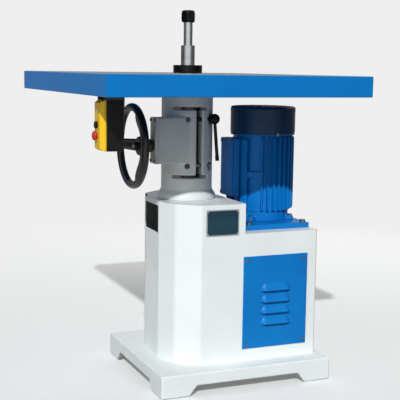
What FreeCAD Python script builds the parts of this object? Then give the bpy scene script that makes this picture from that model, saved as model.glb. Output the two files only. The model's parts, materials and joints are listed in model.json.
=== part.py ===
import FreeCAD, Part
import math
import os
import Sketcher
from FreeCAD import Placement, Rotation, Vector

# Driving dimensions in millimetres, angles in degrees
# X runs along the cabinet, Y from the operator's side to the back, Z up from the floor
# Distances in X are measured from the spindle axis
SIZES = {
    # Frame: the spindle axis stands this far from the origin, which is the middle of the footprint
    "spindle_x": 8,
    # Shared clearances
    "overrun": 5,
    "running_fit": 0.05,
    "seat_gap": 0.3,
    # Base plinth
    "base_length": 516,
    "base_depth": 464,
    "base_height": 64,
    "base_offset": 100,
    "base_top": 14,
    "base_wall": 16,
    "foot_length": 82,
    "foot_slope": 22,
    "foot_arch": 28,
    # Cabinet walls
    "sheet": 3,
    "body_half_depth": 174,
    "body_right": 340,
    "left_wall": 106,
    "left_wall_half": 56,
    "facet_left": 82,
    "facet_half": 124.5,
    "front_edge": 26,
    "tower_right": 109,
    "tower_top_drop": 355.5,
    "deck_top_drop": 440.5,
    "window_sill_drop": 445,
    "window_margin": 1,
    "tower_plate": 14,
    "tower_hole_radius": 46,
    "deck_plate": 5,
    "deck_hole_radius": 80,
    # Access panel with its louvres
    "panel_x": 206,
    "panel_width": 203,
    "panel_rise": 34.5,
    "panel_headroom": 65,
    "panel_sheet": 2.5,
    "panel_lap": 18,
    "panel_screw_inset": 13,
    "panel_screw_radius": 4.5,
    "panel_screw_head": 2.5,
    "panel_screw_shank_radius": 2.5,
    "panel_screw_shank": 12,
    "louvre_width": 92,
    "louvre_depth": 9,
    "louvre_cheek": 8,
    "louvre_lip": 5,
    "louvre_sheet": 2,
    # Nameplate
    "nameplate_x": 39.5,
    "nameplate_drop": 406,
    "nameplate_width": 98,
    "nameplate_height": 73,
    "nameplate_sheet": 1.2,
    "rivet_inset": 5,
    "rivet_radius": 2.2,
    "rivet_head": 1,
    # Table
    "table_height": 870,
    "table_length": 716,
    "table_depth": 860,
    "table_edge": 54,
    "table_offset": -16,
    "table_plate": 16,
    "table_rim": 14,
    "table_rib": 12,
    "table_rib_height": 28,
    "table_pad_radius": 122,
    "table_hole_radius": 62,
    "insert_radius": 75,
    "insert_bore_radius": 46,
    "insert_thickness": 8,
    "table_bolt_circle_radius": 97,
    "table_bolt_shank": 28,
    # Bolts of the column
    "bolt_radius": 6,
    "bolt_head_radius": 9.5,
    "bolt_head": 7.5,
    "column_bolt_circle_radius": 57,
    "column_bolt_shank": 34,
    # Column casting
    "column_radius": 73.3,
    "column_foot_radius": 83,
    "column_foot_rim": 13,
    "column_foot_height": 28,
    "column_flange_radius": 115,
    "column_flange": 18,
    "column_flange_rise": 9,
    "column_counterbore_radius": 46,
    "column_counterbore": 47,
    "slot_x": 9.4,
    "slot_width": 18.6,
    "split_bottom_drop": 289,
    "split_top_drop": 97,
    "slit_height": 9,
    "slit_left": 60,
    "slit_right": 38,
    "slit_depth": 30,
    # Pinion boss and its cover
    "boss_left": 112,
    "boss_front": 70,
    "boss_back": 22,
    "boss_bottom_drop": 250,
    "boss_top_drop": 121,
    "boss_cover": 8,
    # Small screws of the covers
    "screw_radius": 2.5,
    "screw_head_radius": 4.5,
    "screw_head": 3,
    "screw_shank": 18,
    "screw_inset": 8,
    # Rack and pinion
    "gear_module": 1.5,
    "gear_backlash": 0.2,
    "pinion_y": -45,
    "pinion_drop": 200,
    "pinion_x": -8.5,
    "pinion_width": 11,
    "pinion_room": 2,
    "rack_width": 13,
    "rack_back": 26,
    "rack_slot_end": 8,
    # Pinion shaft and bushes
    "shaft_radius": 8,
    "shaft_seat_radius": 7,
    "shaft_thread_radius": 6,
    "bush_radius": 13,
    "bush_length": 28,
    "bush_flange_radius": 17,
    "bush_flange": 3,
    "inner_bush_end": 28,
    # Handwheel
    "wheel_rim_x": 180,
    "wheel_rim_radius": 107.5,
    "wheel_rim_bar": 10,
    "hub_inner": 126,
    "hub_outer": 165,
    "hub_inner_radius": 19,
    "hub_outer_radius": 26,
    "hub_waist": 152,
    "spoke_bar": 10.5,
    "spoke_root_x": 148,
    "spoke_root_radius": 16,
    "wheel_nut_flats": 19,
    "wheel_nut": 10,
    "wheel_stub": 13,
    # Quill
    "quill_radius": 40,
    "quill_bottom_drop": 382,
    "quill_top_drop": 64,
    "quill_bore_radius": 22,
    "cap_thickness": 8,
    "cap_gap": 1,
    # Ball bearings of the quill and of the motor
    "bearing_bore_radius": 15,
    "bearing_inner_radius": 19.5,
    "bearing_race_radius": 26.5,
    "bearing_radius": 31,
    "bearing_width": 16,
    "ball_radius": 4.5,
    "race_half": 3.2,
    # Spindle
    "spindle_bottom_drop": 578,
    "spindle_thread_radius": 12,
    "drum_seat_radius": 14,
    "spacer_radius": 18.5,
    "spindle_neck_radius": 19,
    "spindle_flange_radius": 24,
    "spindle_flange_gap": 4,
    "collar_bottom_rise": 1,
    "collar_radius": 41.2,
    "collar_height": 22.5,
    "shank_radius": 19.9,
    "shank_top_rise": 78.4,
    "arbor_radius": 12.7,
    "arbor_thread_radius": 11.5,
    "arbor_top_rise": 170,
    "arbor_nut_bottom_rise": 142.5,
    "arbor_nut_top_rise": 176.4,
    "arbor_nut_flats": 36,
    "arbor_nut_washer": 4,
    "arbor_nut_washer_radius": 19.9,
    # Drum pulley and belt drive
    "drum_radius": 35,
    "drum_bottom_drop": 558,
    "drum_top_drop": 392,
    "drum_hub_radius": 21,
    "drum_rim": 6,
    "drum_recess": 60,
    "drum_nut_flats": 34,
    "drum_nut": 15,
    "belt_bottom_drop": 520,
    "belt_width": 50,
    "belt_thickness": 3,
    "motor_pulley_bottom_drop": 525,
    "motor_pulley_radius": 73,
    "motor_pulley_width": 60,
    "motor_pulley_rim": 9,
    "motor_pulley_web": 14,
    "motor_pulley_hub_radius": 28,
    "pulley_washer_radius": 20,
    "pulley_washer": 4,
    "pulley_bolt_radius": 5,
    "pulley_bolt_head_radius": 9,
    "pulley_bolt_head": 7,
    "pulley_bolt_shank": 28,
    # Motor plate
    "motor_x": 242,
    "motor_plate_x": 233.5,
    "motor_plate_length": 201,
    "motor_plate_depth": 260,
    "motor_plate": 15,
    "plate_bolt_inset": 14,
    "plate_bolt_radius": 5,
    "plate_bolt_head_radius": 8.5,
    "plate_bolt_head": 7,
    "plate_bolt_shank": 26,
    # Motor end shields
    "spigot_radius": 54,
    "spigot_depth": 4,
    "shaft_hole_radius": 20,
    "lower_shield_radius": 80,
    "lower_shield_top_drop": 397,
    "shield_lip": 5,
    "shield_lip_radius": 66,
    "shield_floor": 12,
    "bearing_hub_radius": 37,
    "lug_radius": 10,
    "lug_height": 12,
    "lug_circle_radius": 90,
    "lug_bolt_radius": 4,
    "lug_bolt_head_radius": 6.5,
    "lug_bolt_head": 5,
    "lug_bolt_shank": 22,
    "lower_bearing_bottom_drop": 418,
    "upper_bearing_bottom_drop": 173,
    "upper_shield_rim": 9,
    "upper_shield_top_drop": 154,
    "tail_hole_radius": 12.5,
    # Motor frame, stator and rotor
    "motor_shell_radius": 82,
    "motor_bore_radius": 77,
    "motor_fin_radius": 94,
    "motor_fin": 5,
    "fin_root": 2,
    "motor_frame_top_drop": 176,
    "stator_bore_radius": 44.8,
    "core_bottom_drop": 361,
    "core_top_drop": 220,
    "winding_inner_radius": 52,
    "winding_radius": 72,
    "winding_height": 20,
    "rotor_radius": 44.2,
    "rotor_shaft_bottom_drop": 524,
    "rotor_shaft_radius": 14,
    "rotor_body_radius": 18,
    "rotor_tail_radius": 11,
    "fan_seat_radius": 10,
    "rotor_shaft_top_drop": 125,
    # Cooling fan and its cover
    "fan_bottom_drop": 148,
    "fan_height": 24,
    "fan_disc": 4,
    "fan_radius": 80,
    "fan_hub_radius": 18,
    "fan_blade": 3,
    "fan_cover_top_drop": 93,
    "fan_cover_radius": 96,
    "fan_cover_sheet": 1.7,
    "fan_cover_round": 8,
    "vent_inner_radius": 28,
    "vent_outer_radius": 78,
    "vent_width": 7,
    "cover_screw_rise": 4.5,
    # Terminal box
    "terminal_face": 125,
    "terminal_lid": 6,
    "terminal_depth": 21,
    "terminal_width": 78,
    "terminal_bottom_drop": 354,
    "terminal_top_drop": 185,
    "terminal_wall": 4,
    "terminal_post": 12,
    "saddle_width": 70,
    "saddle_inset": 8,
    "saddle_reach": 72,
    "gland_radius": 9,
    "gland_thread_radius": 8,
    "gland_flats": 22,
    "gland_hex": 6,
    "gland_length": 10,
    "gland_bore_radius": 5,
    # Lock lever and clamp bolt
    "clamp_y": -58,
    "lock_drop": 127,
    "clamp_drop": 258,
    "clamp_radius": 5,
    "clamp_seat": 43,
    "clamp_seat_radius": 16,
    "clamp_seat_room": 40,
    "clamp_end": 34,
    "clamp_bolt_head_radius": 8.5,
    "clamp_bolt_head": 7,
    "barrel_x": -24,
    "barrel_radius": 7.5,
    "barrel_length": 16,
    "lever_hub_x": 60.5,
    "lever_ball_radius": 15,
    "lever_neck_radius": 10.5,
    "lever_socket": 7,
    "lever_bar": 4.8,
    "lever_tip_bar": 5.6,
    "lever_tip": 14,
    "lever_length": 112,
    "lever_lean": 5,
    # Push-button station
    "switch_inset": 29,
    "switch_y": -258,
    "switch_drop": 129,
    "switch_width": 56,
    "switch_height": 126,
    "switch_cover": 17,
    "switch_band": 6,
    "switch_bevel": 7,
    "switch_cover_room": 8,
    "switch_housing": 42,
    "switch_wall": 3,
    "bracket_sheet": 4,
    "bracket_drop": 96,
    "switch_boss_inset": 69,
    "switch_boss_length": 40,
    "switch_boss_width": 44,
    "switch_screw_radius": 3,
    "switch_screw_head_radius": 5.5,
    "switch_screw_head": 4,
    "switch_screw_shank": 16,
    "housing_screw_shank": 7,
    "housing_screw_drop": 90,
    "switch_screw_spacing": 24,
    "button_travel": 4,
    "button_flange": 2,
    "button_flange_radius": 10.5,
    "start_drop": 127,
    "start_radius": 9,
    "start_proud": 6,
    "stop_drop": 154,
    "stop_radius": 8,
    "stop_head_radius": 12,
    "stop_head": 7.5,
    "stop_head_gap": 5,
    "contact_block": 24,
    "contact_gap": 1,
    "lamp_drop": 92,
    "lamp_radius": 6,
    "lamp_proud": 2.5,
}

# Counts and angles
FINS = 36
SADDLE_FINS = 2
VENTS = 16
FAN_BLADES = 7
BALLS = 9
LOUVRES = 4
LONG_BAYS = 8
CROSS_BAYS = 7
PINION_TEETH = 14
RACK_TEETH_BELOW = 9
RACK_TEETH_ABOVE = 17
FLANK_POINTS = 6
PRESSURE_ANGLE = 20
QUARTERS = (45, 135, 225, 315)
SPOKE_ANGLES = (0, 120, 240)
# Shares of the panel's height, for its louvres
LOUVRE_HEIGHT_SHARE = 0.094
LOUVRE_LOW_SHARE = 0.26
LOUVRE_PITCH_SHARE = 0.1214
# Shares of the gear module
ADDENDUM_SHARE = 1.0
DEDENDUM_SHARE = 1.25


class Size:
    """A value of the sheet, or a sum of such values: its expression and its present amount."""

    def __init__(self, text, value):
        self.text = text
        self.value = value

    def __add__(self, other):
        other = as_size(other)
        return Size(f"({self.text} + {other.text})", self.value + other.value)

    def __radd__(self, other):
        return as_size(other) + self

    def __sub__(self, other):
        other = as_size(other)
        return Size(f"({self.text} - {other.text})", self.value - other.value)

    def __mul__(self, other):
        other = as_size(other)
        return Size(f"({self.text} * {other.text})", self.value * other.value)

    def __truediv__(self, other):
        other = as_size(other)
        return Size(f"({self.text} / {other.text})", self.value / other.value)

    def __neg__(self):
        return Size(f"(-{self.text})", -self.value)


def as_size(amount):
    if isinstance(amount, Size):
        return amount
    return Size(f"{amount:.9f}" if amount else "0", float(amount))


class Sheet:
    """The aliases of the spreadsheet, each one a Size."""


doc = FreeCAD.newDocument("SpindleMoulder")
dimensions = doc.addObject("Spreadsheet::Sheet", "Dimensions")
size = Sheet()
for row, (alias, amount) in enumerate(SIZES.items(), start=1):
    dimensions.set(f"A{row}", alias)
    dimensions.set(f"B{row}", str(amount))
    dimensions.setAlias(f"B{row}", alias)
    setattr(size, alias, Size(f"Dimensions.{alias}", float(amount)))
doc.recompute()


class Levels:
    """Heights above the floor. Each is a drop below the table's top or a rise above it."""

    def __getattr__(self, name):
        if name + "_drop" in SIZES:
            return size.table_height - getattr(size, name + "_drop")
        return size.table_height + getattr(size, name + "_rise")


level_of = Levels()
nodes = []
spots = {}
UPRIGHT = Rotation()
TURNS = {
    "z": UPRIGHT,
    "x": Rotation(Vector(0, 1, 0), 90),
    "y": Rotation(Vector(1, 0, 0), -90),
}


def bind(item, prop, amount):
    item.setExpression(prop, as_size(amount).text)


def place(item, at, turn=UPRIGHT):
    item.Placement = Placement(Vector(*(as_size(part).value for part in at)), turn)
    for letter, part in zip("xyz", at):
        bind(item, f"Placement.Base.{letter}", part)
    spots[item.Name] = at[0]


def node(label, piece):
    """Names a finished sub-part and sets it at the spindle axis."""
    piece.Label = label
    bind(piece, "Placement.Base.x", size.spindle_x + spots.get(piece.Name, 0))
    nodes.append(piece)


def block(name, low, high):
    box = doc.addObject("Part::Box", name)
    for prop, start, end in zip(("Length", "Width", "Height"), low, high):
        bind(box, prop, as_size(end) - start)
    place(box, low)
    return box


def rod(name, start, radius, length, axis="z"):
    cylinder = doc.addObject("Part::Cylinder", name)
    bind(cylinder, "Radius", radius)
    bind(cylinder, "Height", length)
    place(cylinder, start, TURNS[axis])
    return cylinder


def hexagon(name, start, flats, length, axis="z"):
    six_sided = doc.addObject("Part::Prism", name)
    six_sided.Polygon = 6
    bind(six_sided, "Circumradius", flats / math.sqrt(3))
    bind(six_sided, "Height", length)
    place(six_sided, start, TURNS[axis])
    return six_sided


def wedge(name, base, top, depth, at, turn):
    """A block that tapers: base and top are (low, high) pairs across and up, depth apart."""
    tapered = doc.addObject("Part::Wedge", name)
    for prop, amount in zip(("Xmin", "Xmax", "Zmin", "Zmax"), base):
        bind(tapered, prop, amount)
    for prop, amount in zip(("X2min", "X2max", "Z2min", "Z2max"), top):
        bind(tapered, prop, amount)
    bind(tapered, "Ymin", depth[0])
    bind(tapered, "Ymax", depth[1])
    place(tapered, at, turn)
    return tapered


def joined(name, pieces):
    union = doc.addObject("Part::MultiFuse", name)
    union.Shapes = pieces
    return union


def cut(name, base, tools):
    result = doc.addObject("Part::Cut", name)
    result.Base = base
    result.Tool = tools[0] if len(tools) == 1 else joined(f"{name}_tools", tools)
    return result


def grouped(name, pieces):
    compound = doc.addObject("Part::Compound", name)
    compound.Links = pieces
    return compound


def outline(body, role, corners):
    """A closed sketch on one of the body's own planes, every corner bound to the sheet."""
    sketch = body.newObject("Sketcher::SketchObject", f"{body.Name}_outline")
    plane = [item for item in body.Origin.OriginFeatures if item.Role == role][0]
    sketch.AttachmentSupport = (plane, [""])
    sketch.MapMode = "FlatFace"
    corners = [(as_size(across), as_size(up)) for across, up in corners]
    points = [Vector(across.value, up.value, 0) for across, up in corners]
    count = len(points)
    sketch.addGeometry([Part.LineSegment(p, q) for p, q in zip(points, points[1:] + points[:1])])
    for i in range(count):
        sketch.addConstraint(Sketcher.Constraint("Coincident", i, 2, (i + 1) % count, 1))
    for i, corner in enumerate(corners):
        for kind, part, axis in zip(("DistanceX", "DistanceY"), corner, (-2, -1)):
            if part.text == "0":
                sketch.addConstraint(Sketcher.Constraint("PointOnObject", i, 1, axis))
                continue
            index = sketch.addConstraint(Sketcher.Constraint(kind, -1, 1, i, 1, part.value))
            sketch.setExpression(f"Constraints[{index}]", part.text)
    return sketch


def prism(name, role, corners, length, at=(0, 0, 0)):
    """A straight-sided piece: an outline padded along +Z, +Y or +X."""
    body = doc.addObject("PartDesign::Body", name)
    sketch = outline(body, role, corners)
    pad = body.newObject("PartDesign::Pad", f"{name}_pad")
    pad.Profile = sketch
    pad.Reversed = role == "XZ_Plane"
    bind(pad, "Length", length)
    place(body, at)
    return body


def turned(name, corners, at=(0, 0, 0), axis="z"):
    """A lathe piece: a profile of radius and distance along the axis, turned a full circle."""
    body = doc.addObject("PartDesign::Body", name)
    sketch = outline(body, "XZ_Plane", corners)
    revolution = body.newObject("PartDesign::Revolution", f"{name}_turn")
    revolution.Profile = sketch
    revolution.ReferenceAxis = (sketch, ["V_Axis"])
    revolution.Angle = 360
    place(body, at, TURNS[axis])
    return body


def around(radius, angle, x=0, y=0):
    """A point on a circle about (x, y), as a pair of sizes."""
    across = radius * math.cos(math.radians(angle)) + x
    along = radius * math.sin(math.radians(angle)) + y
    return across, along


def ray(name, angle, inner, outer, width, low, high):
    """A block that lies along a radius of the motor."""
    radial = doc.addObject("Part::Box", name)
    bind(radial, "Length", outer - inner)
    bind(radial, "Width", width)
    bind(radial, "Height", high - low)
    start = around(inner, angle, size.motor_x)
    corner = around(width / 2, angle - 90, *start)
    place(radial, (*corner, low), Rotation(Vector(0, 0, 1), angle))
    return radial


def fasteners(name, seats, axis, forward, head, shank):
    """Bolts or screws with their holes: head and shank are (radius, length)."""
    along = "xyz".index(axis)
    bolts = []
    holes = []
    for number, seat in enumerate(seats):
        head_start = list(seat)
        shank_start = list(seat)
        hole_start = list(seat)
        if forward:
            head_start[along] = as_size(seat[along]) - head[1]
            hole_start[along] = as_size(seat[along]) - size.seat_gap
        else:
            shank_start[along] = as_size(seat[along]) - shank[1]
            hole_start[along] = shank_start[along] - size.seat_gap
        head_rod = rod(f"{name}_{number}_head", head_start, head[0], head[1], axis)
        shank_rod = rod(f"{name}_{number}_shank", shank_start, shank[0], shank[1], axis)
        bolts.append(joined(f"{name}_{number}", [head_rod, shank_rod]))
        hole_length = shank[1] + size.seat_gap * 2
        hole_radius = shank[0] + size.running_fit
        holes.append(rod(f"{name}_{number}_hole", hole_start, hole_radius, hole_length, axis))
    return bolts, holes


# Levels and planes shared by several pieces
table_left = size.table_offset - size.table_length / 2
table_right = size.table_offset + size.table_length / 2
table_half = size.table_depth / 2
switch_face = table_left + size.switch_inset
switch_boss_x = table_left + size.switch_boss_inset
table_bottom = size.table_height - size.table_edge
table_plate_bottom = size.table_height - size.table_plate
flange_bottom = table_bottom + size.column_flange_rise
column_top = flange_bottom + size.column_flange
tower_plate_bottom = level_of.tower_top - size.tower_plate
deck_bottom = level_of.deck_top - size.deck_plate
motor_plate_top = level_of.deck_top + size.motor_plate
front = -size.body_half_depth
inner_half = size.body_half_depth - size.sheet
small_head = (size.screw_head_radius, size.screw_head)
small_shank = (size.screw_radius, size.screw_shank)
bolt_head = (size.bolt_head_radius, size.bolt_head)

# Base plinth: hollow underneath, with four feet left by an arch through each pair of sides
base_left = size.base_offset - size.base_length / 2
base_right = size.base_offset + size.base_length / 2
base_half = size.base_depth / 2
plinth = block("plinth", (base_left, -base_half, 0), (base_right, base_half, size.base_height))
plinth_hollow = block(
    "plinth_hollow",
    (base_left + size.base_wall, size.base_wall - base_half, -size.overrun),
    (base_right - size.base_wall, base_half - size.base_wall, size.base_height - size.base_top),
)


def arch(name, role, low, high, length, at):
    inner_low = low + size.foot_length
    inner_high = high - size.foot_length
    corners = [
        (inner_low, -size.overrun),
        (inner_high, -size.overrun),
        (inner_high, 0),
        (inner_high - size.foot_slope, size.foot_arch),
        (inner_low + size.foot_slope, size.foot_arch),
        (inner_low, 0),
    ]
    return prism(name, role, corners, length + size.overrun * 2, at)


front_arch_at = (0, -base_half - size.overrun, 0)
front_arch = arch("front_arch", "XZ_Plane", base_left, base_right, size.base_depth, front_arch_at)
side_arch_at = (base_left - size.overrun, 0, 0)
side_arch = arch("side_arch", "YZ_Plane", -base_half, base_half, size.base_length, side_arch_at)
node("base_plinth", cut("base_plinth", plinth, [plinth_hollow, front_arch, side_arch]))

# Access panel: sheet with pressed louvres that open downwards
panel_left = size.panel_x - size.panel_width / 2
panel_right = size.panel_x + size.panel_width / 2
panel_bottom = size.base_height + size.panel_rise
panel_top = level_of.deck_top - size.panel_headroom
panel_height = panel_top - panel_bottom
louvre_height = panel_height * LOUVRE_HEIGHT_SHARE
panel_front = front - size.panel_sheet
panel_blank = block("panel_blank", (panel_left, panel_front, panel_bottom), (panel_right, front, panel_top))
louvre_half = size.louvre_width / 2
FACING_FRONT = Rotation(Vector(0, 0, 1), 180)


def hood(name, bottom, inset):
    """A louvre's hood: its back on the panel, its face sloping out to a lip at the bottom."""
    half = louvre_half - inset
    lip_half = half - size.louvre_cheek
    base = (-half, half, -inset, louvre_height - inset)
    lip = (-lip_half, lip_half, -inset, size.louvre_lip - inset)
    depth = (-inset, size.panel_sheet + size.louvre_depth - inset)
    return wedge(name, base, lip, depth, (size.panel_x, front, bottom), FACING_FRONT)


hoods = []
hood_rooms = []
for number in range(LOUVRES):
    louvre_bottom = panel_bottom + panel_height * (LOUVRE_LOW_SHARE + LOUVRE_PITCH_SHARE * number)
    hoods.append(hood(f"hood_{number}", louvre_bottom, as_size(0)))
    hood_rooms.append(hood(f"hood_room_{number}", louvre_bottom, size.louvre_sheet))
panel_seats = [
    (x, panel_front, z)
    for x in (panel_left + size.panel_screw_inset, panel_right - size.panel_screw_inset)
    for z in (panel_bottom + size.panel_screw_inset, panel_top - size.panel_screw_inset)
]
panel_head = (size.panel_screw_radius, size.panel_screw_head)
panel_shank = (size.panel_screw_shank_radius, size.panel_screw_shank)
panel_screws, panel_holes = fasteners("panel_screw", panel_seats, "y", True, panel_head, panel_shank)
panel_pressed = joined("panel_pressed", [panel_blank, *hoods])
node("access_panel", cut("access_panel", panel_pressed, [*hood_rooms, *panel_holes]))
node("panel_screws", grouped("panel_screws", panel_screws))

# Nameplate: a bare plate with four rivet heads
nameplate_half = size.nameplate_width / 2
nameplate_low = level_of.nameplate - size.nameplate_height / 2
nameplate_high = level_of.nameplate + size.nameplate_height / 2
nameplate_front = front - size.nameplate_sheet
nameplate_sheet = block(
    "nameplate_sheet",
    (size.nameplate_x - nameplate_half, nameplate_front, nameplate_low),
    (size.nameplate_x + nameplate_half, front, nameplate_high),
)
rivet_spots = [
    (x, nameplate_front - size.rivet_head, z)
    for x in (
        size.nameplate_x - nameplate_half + size.rivet_inset,
        size.nameplate_x + nameplate_half - size.rivet_inset,
    )
    for z in (nameplate_low + size.rivet_inset, nameplate_high - size.rivet_inset)
]
rivets = [
    rod(f"rivet_{number}", spot, size.rivet_radius, size.rivet_head, "y")
    for number, spot in enumerate(rivet_spots)
]
node("nameplate", joined("nameplate", [nameplate_sheet, *rivets]))


# Cabinet: a ring of folded sheet with a faceted left end, in a front half and a rear half
def cabinet_outline(right):
    half = [
        (-size.left_wall, size.left_wall_half),
        (-size.facet_left, size.facet_half),
        (-size.front_edge, size.body_half_depth),
        (right, size.body_half_depth),
    ]
    return [(x, -y) for x, y in half] + half[::-1]


def walls(name, right):
    height = level_of.tower_top - size.base_height
    ring_body = prism(name, "XY_Plane", cabinet_outline(right), height, (0, 0, size.base_height))
    doc.recompute()
    pad = ring_body.Tip
    ends = [f"Face{i}" for i, face in enumerate(pad.Shape.Faces, start=1) if round(face.normalAt(0, 0).z)]
    shell = ring_body.newObject("PartDesign::Thickness", f"{name}_thickness")
    shell.Base = (pad, ends)
    shell.Mode = 0
    shell.Join = 1
    shell.Reversed = True
    bind(shell, "Value", size.sheet)
    return ring_body


cabinet_ring = walls("cabinet_ring", size.body_right)
low_part_room = block(
    "low_part_room",
    (size.tower_right, front - size.overrun, level_of.deck_top),
    (size.body_right + size.overrun, size.body_half_depth + size.overrun, level_of.tower_top + size.overrun),
)
window_half = size.left_wall_half - size.window_margin
left_window = block(
    "left_window",
    (-size.left_wall - size.overrun, -window_half, level_of.window_sill),
    (size.sheet - size.left_wall, window_half, level_of.tower_top + size.overrun),
)
panel_opening = block(
    "panel_opening",
    (panel_left + size.panel_lap, front - size.overrun, panel_bottom + size.panel_lap),
    (panel_right - size.panel_lap, size.overrun - inner_half, panel_top - size.panel_lap),
)
open_ring = cut("open_ring", cabinet_ring, [low_part_room, left_window, panel_opening, *panel_holes])
cabinet_low = (-size.left_wall - size.overrun, front - size.overrun, size.base_height)
cabinet_high = (size.body_right + size.overrun, size.body_half_depth + size.overrun, level_of.tower_top)
front_space = block("front_space", cabinet_low, (cabinet_high[0], 0, cabinet_high[2]))
rear_space = block("rear_space", (cabinet_low[0], 0, cabinet_low[2]), cabinet_high)
for label, space in (("cabinet_front", front_space), ("cabinet_rear", rear_space)):
    half_ring = doc.addObject("Part::Common", label)
    half_ring.Base = open_ring
    half_ring.Tool = space
    node(label, half_ring)

# Tower top plate: fills the tower's outline inside the sheet and carries the column
plate_blank = prism(
    "plate_blank",
    "XY_Plane",
    cabinet_outline(size.tower_right),
    size.tower_plate,
    (0, 0, tower_plate_bottom),
)
plate_surround = walls("plate_surround", size.tower_right)
spindle_hole = rod(
    "spindle_hole",
    (0, 0, tower_plate_bottom - size.overrun),
    size.tower_hole_radius,
    size.tower_plate + size.overrun * 2,
)
column_seats = [(*around(size.column_bolt_circle_radius, angle), tower_plate_bottom) for angle in QUARTERS]
column_shank = (size.bolt_radius, size.column_bolt_shank)
column_bolts, column_holes = fasteners("column_bolt", column_seats, "z", True, bolt_head, column_shank)
node("tower_top_plate", cut("tower_top_plate", plate_blank, [plate_surround, spindle_hole, *column_holes]))

# Tower side wall above the motor deck
tower_side = block(
    "tower_side",
    (size.tower_right - size.sheet, -inner_half, deck_bottom),
    (size.tower_right, inner_half, level_of.tower_top),
)
node("tower_side", tower_side)

# Motor deck and motor plate: the plate is bolted on the deck over the motor pulley's hole
deck_blank = block(
    "deck_blank",
    (size.tower_right, -inner_half, deck_bottom),
    (size.body_right - size.sheet, inner_half, level_of.deck_top),
)
deck_hole = rod(
    "deck_hole",
    (size.motor_x, 0, deck_bottom - size.overrun),
    size.deck_hole_radius,
    size.deck_plate + size.overrun * 2,
)
plate_left = size.motor_plate_x - size.motor_plate_length / 2
plate_right = size.motor_plate_x + size.motor_plate_length / 2
plate_half = size.motor_plate_depth / 2
plate_seats = [
    (x, y, motor_plate_top)
    for x in (plate_left + size.plate_bolt_inset, plate_right - size.plate_bolt_inset)
    for y in (size.plate_bolt_inset - plate_half, plate_half - size.plate_bolt_inset)
]
plate_head = (size.plate_bolt_head_radius, size.plate_bolt_head)
plate_shank = (size.plate_bolt_radius, size.plate_bolt_shank)
plate_bolts, plate_holes = fasteners("plate_bolt", plate_seats, "z", False, plate_head, plate_shank)
node("motor_deck", cut("motor_deck", deck_blank, [deck_hole, *plate_holes]))
plate_slab = block(
    "plate_slab",
    (plate_left, -plate_half, level_of.deck_top),
    (plate_right, plate_half, motor_plate_top),
)
spigot_hole = rod(
    "spigot_hole",
    (size.motor_x, 0, level_of.deck_top - size.overrun),
    size.spigot_radius + size.running_fit,
    size.motor_plate + size.overrun * 2,
)
lug_top = motor_plate_top + size.lug_height
lug_seats = [(*around(size.lug_circle_radius, angle, size.motor_x), lug_top) for angle in QUARTERS]
lug_head = (size.lug_bolt_head_radius, size.lug_bolt_head)
lug_shank = (size.lug_bolt_radius, size.lug_bolt_shank)
lug_bolts, lug_holes = fasteners("lug_bolt", lug_seats, "z", False, lug_head, lug_shank)
node("motor_plate", cut("motor_plate", plate_slab, [spigot_hole, *plate_holes, *lug_holes]))
node("motor_plate_bolts", grouped("motor_plate_bolts", plate_bolts))
node("motor_shield_bolts", grouped("motor_shield_bolts", lug_bolts))

# Bolts and screws that pass through the column
table_seats = [(*around(size.table_bolt_circle_radius, angle), flange_bottom) for angle in QUARTERS]
table_shank = (size.bolt_radius, size.table_bolt_shank)
table_bolts, table_holes = fasteners("table_bolt", table_seats, "z", True, bolt_head, table_shank)
node("column_bolts", grouped("column_bolts", [*column_bolts, *table_bolts]))
cover_face = -size.boss_left - size.boss_cover
boss_seats = [
    (cover_face, y, z)
    for y in (size.screw_inset - size.boss_front, -size.boss_back - size.screw_inset)
    for z in (level_of.boss_bottom + size.screw_inset, level_of.boss_top - size.screw_inset)
]
boss_screws, boss_holes = fasteners("boss_screw", boss_seats, "x", True, small_head, small_shank)

# Column: a casting with a flared foot, a hidden top flange, the pinion boss and the clamp slot
column_round = turned(
    "column_round",
    [
        (0, level_of.tower_top),
        (size.column_foot_radius, level_of.tower_top),
        (size.column_foot_radius, level_of.tower_top + size.column_foot_rim),
        (size.column_radius, level_of.tower_top + size.column_foot_height),
        (size.column_radius, flange_bottom),
        (size.column_flange_radius, flange_bottom),
        (size.column_flange_radius, column_top),
        (0, column_top),
    ],
)
boss = block(
    "boss",
    (-size.boss_left, -size.boss_front, level_of.boss_bottom),
    (0, -size.boss_back, level_of.boss_top),
)
column_solid = joined("column_solid", [column_round, boss])
quill_bore = rod(
    "quill_bore",
    (0, 0, level_of.tower_top - size.overrun),
    size.quill_radius + size.running_fit,
    column_top - level_of.tower_top + size.overrun * 2,
)
counterbore = rod(
    "counterbore",
    (0, 0, column_top - size.column_counterbore),
    size.column_counterbore_radius,
    size.column_counterbore + size.overrun,
)
slot_front = -size.column_radius - size.overrun
clamp_slot = block(
    "clamp_slot",
    (size.slot_x - size.slot_width / 2, slot_front, level_of.split_bottom),
    (size.slot_x + size.slot_width / 2, -size.slit_depth, level_of.split_top),
)
slits = [
    block(
        f"slit_{number}",
        (-size.slit_left, slot_front, level - size.slit_height / 2),
        (size.slit_right, -size.slit_depth, level + size.slit_height / 2),
    )
    for number, level in enumerate((level_of.split_bottom, level_of.split_top))
]
pinion_end = size.pinion_x + size.pinion_width / 2
bush_bore = rod(
    "bush_bore",
    (cover_face - size.overrun, size.pinion_y, level_of.pinion),
    size.bush_radius + size.running_fit,
    pinion_end + size.pinion_room - cover_face + size.overrun,
    "x",
)
clamp_holes = []
clamp_seats = []
barrel_holes = []
barrels = []
barrel_end = size.clamp_y + size.barrel_length / 2
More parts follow.
